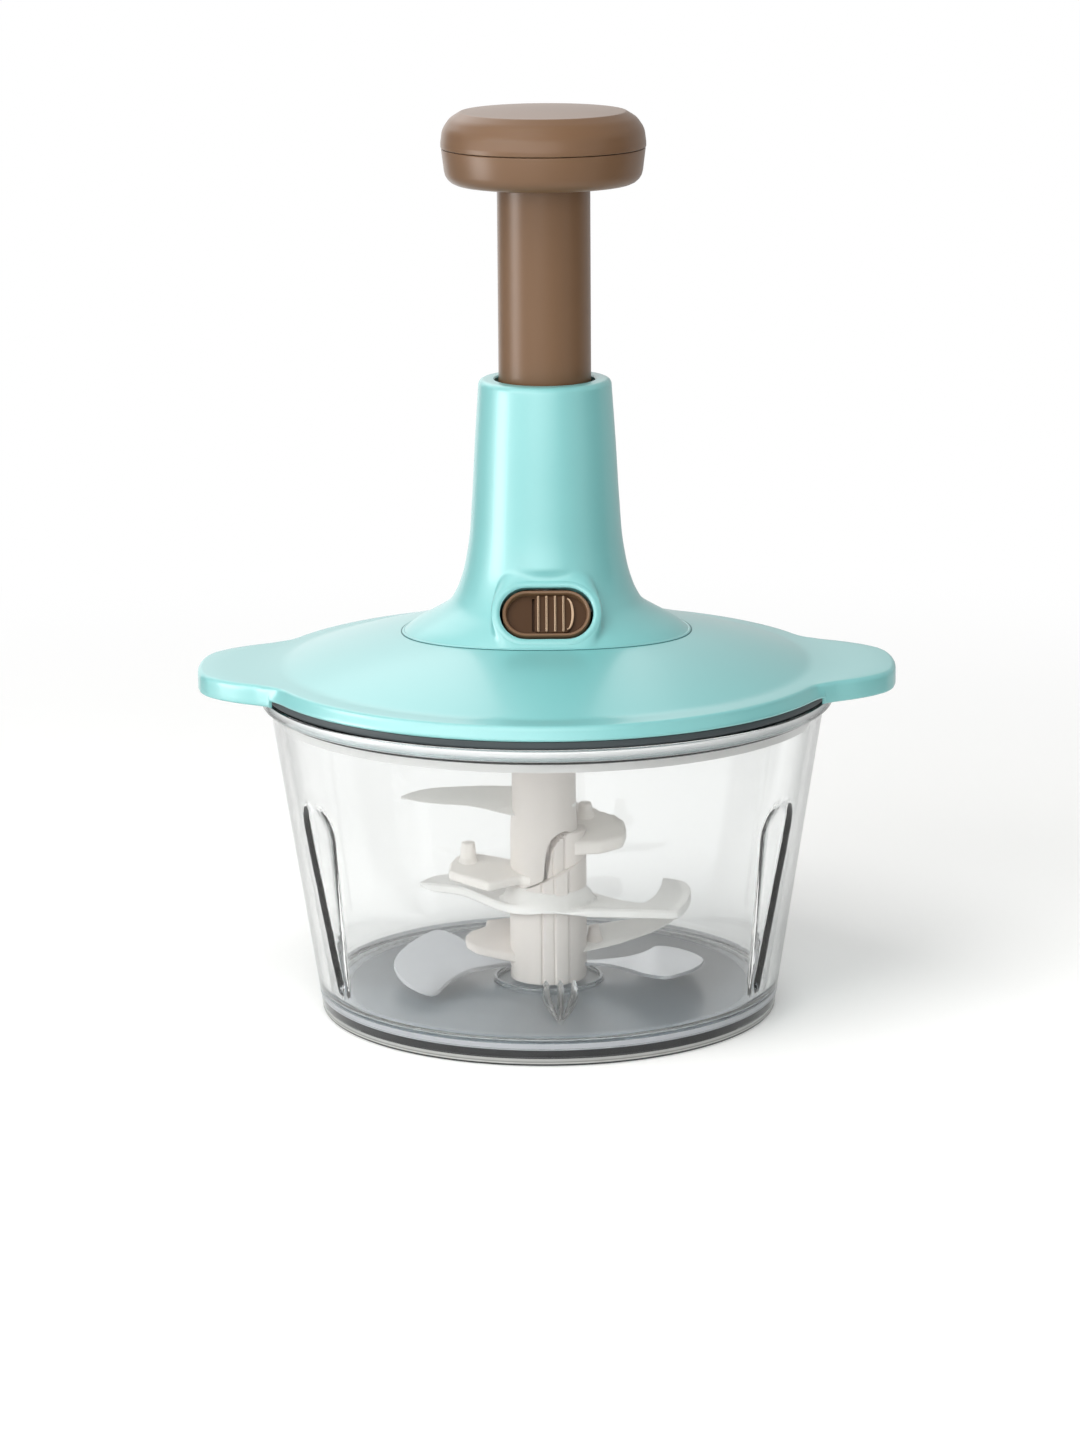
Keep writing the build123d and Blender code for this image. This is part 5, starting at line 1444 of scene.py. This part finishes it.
upperHub = [upperHubShape()]
rightArm = [armShape(arms["right"])]
leftArm = [armShape(arms["left"]), pegShape(*pegs["left"]), pegShape(*pegs["knot"])]
lowerHub = [lowerHubShape(), armShape(arms["low"]), pegShape(*pegs["low"])]
makePiece("upperHub", upperHub, "blades", ivory, ["upper_hub"], cutters=[archCutter()])
# Painted light: the arms take the paler ivory.
makePiece("rightArm", rightArm, "blades", litIvory, cutters=[archCutter()])
makePiece("leftArm", leftArm, "blades", litIvory)
makePiece("lowerHub", lowerHub, "blades", ivory, ["lower_hub"])

# Each wing: rows of (leading x, leading y, trailing x, trailing y) from the hub to the tip, in place seen
# from above, then its height at the axis, how much it rises along y, and which edge is ground. Some wings
# have a lip, given by its height, in place of the ground edge, and climb by rootRise in front of the hub.
wings = {
    "top": {
        "rows": (
            (-6, 8.6, -6, -5.5), (-11.2, 8.2, -11.4, -4.4), (-18.0, 8.5, -18.5, -1.8),
            (-25.2, 8.3, -24.6, -0.1), (-32.0, 7.9, -31.5, 0.7), (-36.8, 7.4, -37.3, 1.4),
            (-41.7, 6.0, -42.0, 2.5), (-45.9, 3.9, -45.9, 3.7),
        ),
        "height": 63.5, "slope": 0.46, "ground": "trailing",
    },
    "middleRight": {
        "rows": (
            (4, -15.2, 4, 8.6), (10, -15.5, 9, 7.0), (16, -15.9, 15, 2.2), (22, -16.3, 20.5, -2.6),
            (28, -16.8, 25.5, -5.8), (34.5, -17.4, 29.6, -7.0), (39.8, -17.4, 32.2, -3.0),
            (42.4, -12.0, 33.8, 1.0), (44.2, -4.7, 34.9, 5.5), (44.9, 2.8, 35.7, 9.3),
            (44.0, 10.4, 36.2, 13.3), (41.2, 15.3, 36.5, 17.0),
        ),
        "height": 33.7, "slope": 0.06, "ground": "leading", "lip": 1.9, "rootRise": 5.0,
    },
    "middleLeft": {
        "rows": (
            (6, -15.2, 4, 12), (-2, -14.6, -4, 13.5), (-8.4, -12.9, -10, 14.5), (-15.1, -8.6, -16, 17.5),
            (-21, -1.0, -22, 20.4), (-26.5, 5.6, -27.6, 22.3), (-31.0, 8.4, -32.0, 22.3),
            (-34.6, 9.6, -35.8, 20.8), (-38.2, 11.2, -38.6, 17.6), (-40.8, 13.8, -40.8, 14.2),
        ),
        "height": 33.7, "slope": 0.06, "ground": "leading", "lip": 1.9, "rootRise": 5.0,
    },
    "low": {
        "rows": (
            (6, -7.5, 4, 9), (12.2, -4.6, 10.5, 11.2), (17, -2.6, 16, 12.6), (22.0, 0.0, 21.5, 14.2),
            (28, 4.0, 27.6, 16.0), (33.2, 8.0, 33.2, 17.6), (38, 13.0, 38.0, 18.7), (41.6, 18.4, 41.6, 19.0),
        ),
        "height": 18.6, "slope": 0.2, "ground": "leading",
    },
    "floor": {
        "rows": (
            (-8, -4.5, -8, 4.5), (-12.3, -3.2, -13.6, 3.4), (-18.1, -5.2, -18.9, 6.2),
            (-24.5, -8.4, -24.6, 13.6), (-28.7, -13.6, -29.0, 21.6), (-32.1, -20.0, -33.4, 26.2),
            (-34.6, -26.6, -36.2, 27.2), (-38.2, -25.8, -39.4, 23.8), (-43.2, -20.0, -44.0, 16.4),
            (-46.8, -12.0, -47.4, 7.6), (-48.6, -4.0, -48.7, 0.6),
        ),
        "height": 12.6, "slope": 0.1, "ground": "leading",
    },
}
# What the blades share. The pairs are places between which a plate comes down from its lip, above and below,
# as shares of its width, and from its rise at the hub, as distances from the axis.
bladeFinish = {
    "thick": 1.0, "edge": 0.18, "grind": 2.0, "widestGrind": 0.45, "lipWidth": 0.5, "lipLean": 0.8,
    "tipRows": 1.5, "across": 16, "along": 5, "gather": 1.3, "bore": 5.8,
    "lipFall": (0.0, 0.35), "lipFallBelow": (0.0, 0.2), "rootSpan": (11.0, 15.6),
}


# Wing plate: a grid from the leading to the trailing edge, both smooth curves through the table. Height
# follows the slope. The ground strip along one edge falls in a straight line to the edge, or, on a wing with
# a lip, the edge stands as a low wall. Near the hub's front the plate climbs by the root rise.
def wingShape(wing, turned=False):
    f = bladeFinish
    table = np.array(wing["rows"], float)
    fine = np.linspace(0, len(table) - 1, (len(table) - 1) * f["along"] + 1)
    edges = smoothThrough(np.arange(len(table)), table, fine)
    lead, trail = edges[:, :2], edges[:, 2:]
    width = np.linalg.norm(trail - lead, axis=1)
    lip = wing.get("lip", 0.0)
    strip = np.minimum((f["lipWidth"] if lip else f["grind"]) / np.maximum(width, 1e-6), f["widestGrind"])
    inner = np.linspace(0, 1, f["across"])[None, :] ** f["gather"]
    s = np.concatenate([np.zeros((len(fine), 1)), strip[:, None] + (1 - strip[:, None]) * inner], 1)
    onEdge = s < strip[:, None] * 0.999
    tip = np.clip(np.minimum(fine, fine[-1] - fine) / f["tipRows"], 0, 1)[:, None]
    half, thin, wall = f["thick"] / 2, f["edge"] / 2, tip * lip / 2
    above = np.where(onEdge, thin + f["lipLean"] * wall, half + wall * (1 - easeBetween(*f["lipFall"], s)))
    below = np.where(onEdge, thin + wall, half + wall * (1 - easeBetween(*f["lipFallBelow"], s)))
    if wing["ground"] == "trailing":
        s = 1 - s
    xy = lead[:, None] * (1 - s[..., None]) + trail[:, None] * s[..., None]
    climb = 1 - easeBetween(*f["rootSpan"], np.hypot(xy[..., 0], xy[..., 1]))
    z = wing["height"] + wing["slope"] * xy[..., 1] + wing.get("rootRise", 0.0) * climb * (xy[..., 1] < 0)
    top = np.concatenate([xy, (z + above)[..., None]], -1)
    low = np.concatenate([xy, (z - below)[..., None]], -1)
    loop = np.concatenate([top, low[:, ::-1]], 1)
    return gridShape(loop * np.array([-1, -1, 1]) if turned else loop, caps=True)


# Root disc of a blade, inside the hub.
def rootShape(height, radius):
    bore, half = bladeFinish["bore"], bladeFinish["thick"] / 2
    low, high = height - half, height + half
    return turnedShape([(bore, low, 0), (radius, low, 0), (radius, high, 0), (bore, high, 0)], roundAngles)


# Height and radius of the root discs. The middle blade needs none, because its wings meet inside the hub.
roots = {"top": (64.5, 9.0), "low": (20.0, 10.8), "floor": (12.4, 10.8)}
topBlade = [wingShape(wings["top"]), rootShape(*roots["top"])]
middleBlade = [wingShape(wings["middleRight"]), wingShape(wings["middleLeft"])]
lowBlade = [wingShape(wings["low"]), rootShape(*roots["low"])]
floorBlade = [wingShape(wings["floor"]), wingShape(wings["floor"], turned=True), rootShape(*roots["floor"])]
for name, shapes, steel, nodeName in (
    ("topBlade", topBlade, satin, "top_blade"), ("middleBlade", middleBlade, satin, "middle_blade"),
    ("lowerBlade", lowBlade, satin, "lower_blade"), ("floorBlade", floorBlade, ground, "floor_blade"),
):
    makePiece(name, shapes, "blades", steel, [nodeName], sharpAngle=20)

# Return spring
coil = {
    "radius": 8.6, "wire": 1.3, "bottom": 151.7, "top": 257.5, "turns": 17.0, "steps": 26, "around": 8,
    "stroke": 56.0,
}


# Coil: x = r cos a, y = r sin a, with a height that stays nearly flat over the first and last turn and climbs
# evenly between them.
def springShape():
    c = coil
    turn = np.linspace(0, c["turns"], int(c["turns"] * c["steps"]))
    climb = easeBetween(0.0, 1.0, turn) * np.clip(turn - 0.5, 0, None)
    climb = np.minimum(climb, c["turns"] - 1.5)
    climb = climb / climb.max()
    low, high = c["bottom"] + c["wire"] / 2, c["top"] - c["wire"] / 2
    settle = np.clip(turn, 0, 1) * c["wire"] * 0.9 * (1 - climb)
    a = turn * 2 * math.pi
    z = low + np.maximum((high - low) * climb, settle)
    path = np.stack([c["radius"] * np.cos(a), c["radius"] * np.sin(a), z], 1)
    outward = np.stack([np.cos(a), np.sin(a), 0 * a], 1)
    upward = np.tile([0.0, 0.0, 1.0], (len(a), 1))
    return barShape(path, outward, upward, c["wire"] / 2, c["around"])


spring = makePiece(
    "returnSpring", [springShape()], "lid", drawn, ["return_spring"], sharpAngle=60,
)
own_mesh(spring)

# Finishes of the CAD nodes. Those in the dictionary keep their CAD shape. The others are replaced by the new
# pieces and not seen, so one finish does for them, but for the clear bowl.
nodeFinish = {
    "base_pad": rubber, "pivot_pin": drawn, "lower_pivot_bush": black, "upper_pivot_bush": black,
    "guide_sleeve": black, "inner_plate": plain, "drive_column": plain, "lower_spindle_bush": black,
    "upper_spindle_bush": black, "nut_retainer": black, "lid_screws": drawn, "lock_plate": plain,
    "screw_keeper": plain, "knob_screws": drawn, "drive_screw": drawn, "drive_nut": plain,
    "drive_spindle": plain,
}
for name, node in nodes.items():
    node.data.materials.clear()
    node.data.materials.append(nodeFinish.get(name, styrene if name == "bowl" else turquoise))
print("CAD pieces finished")
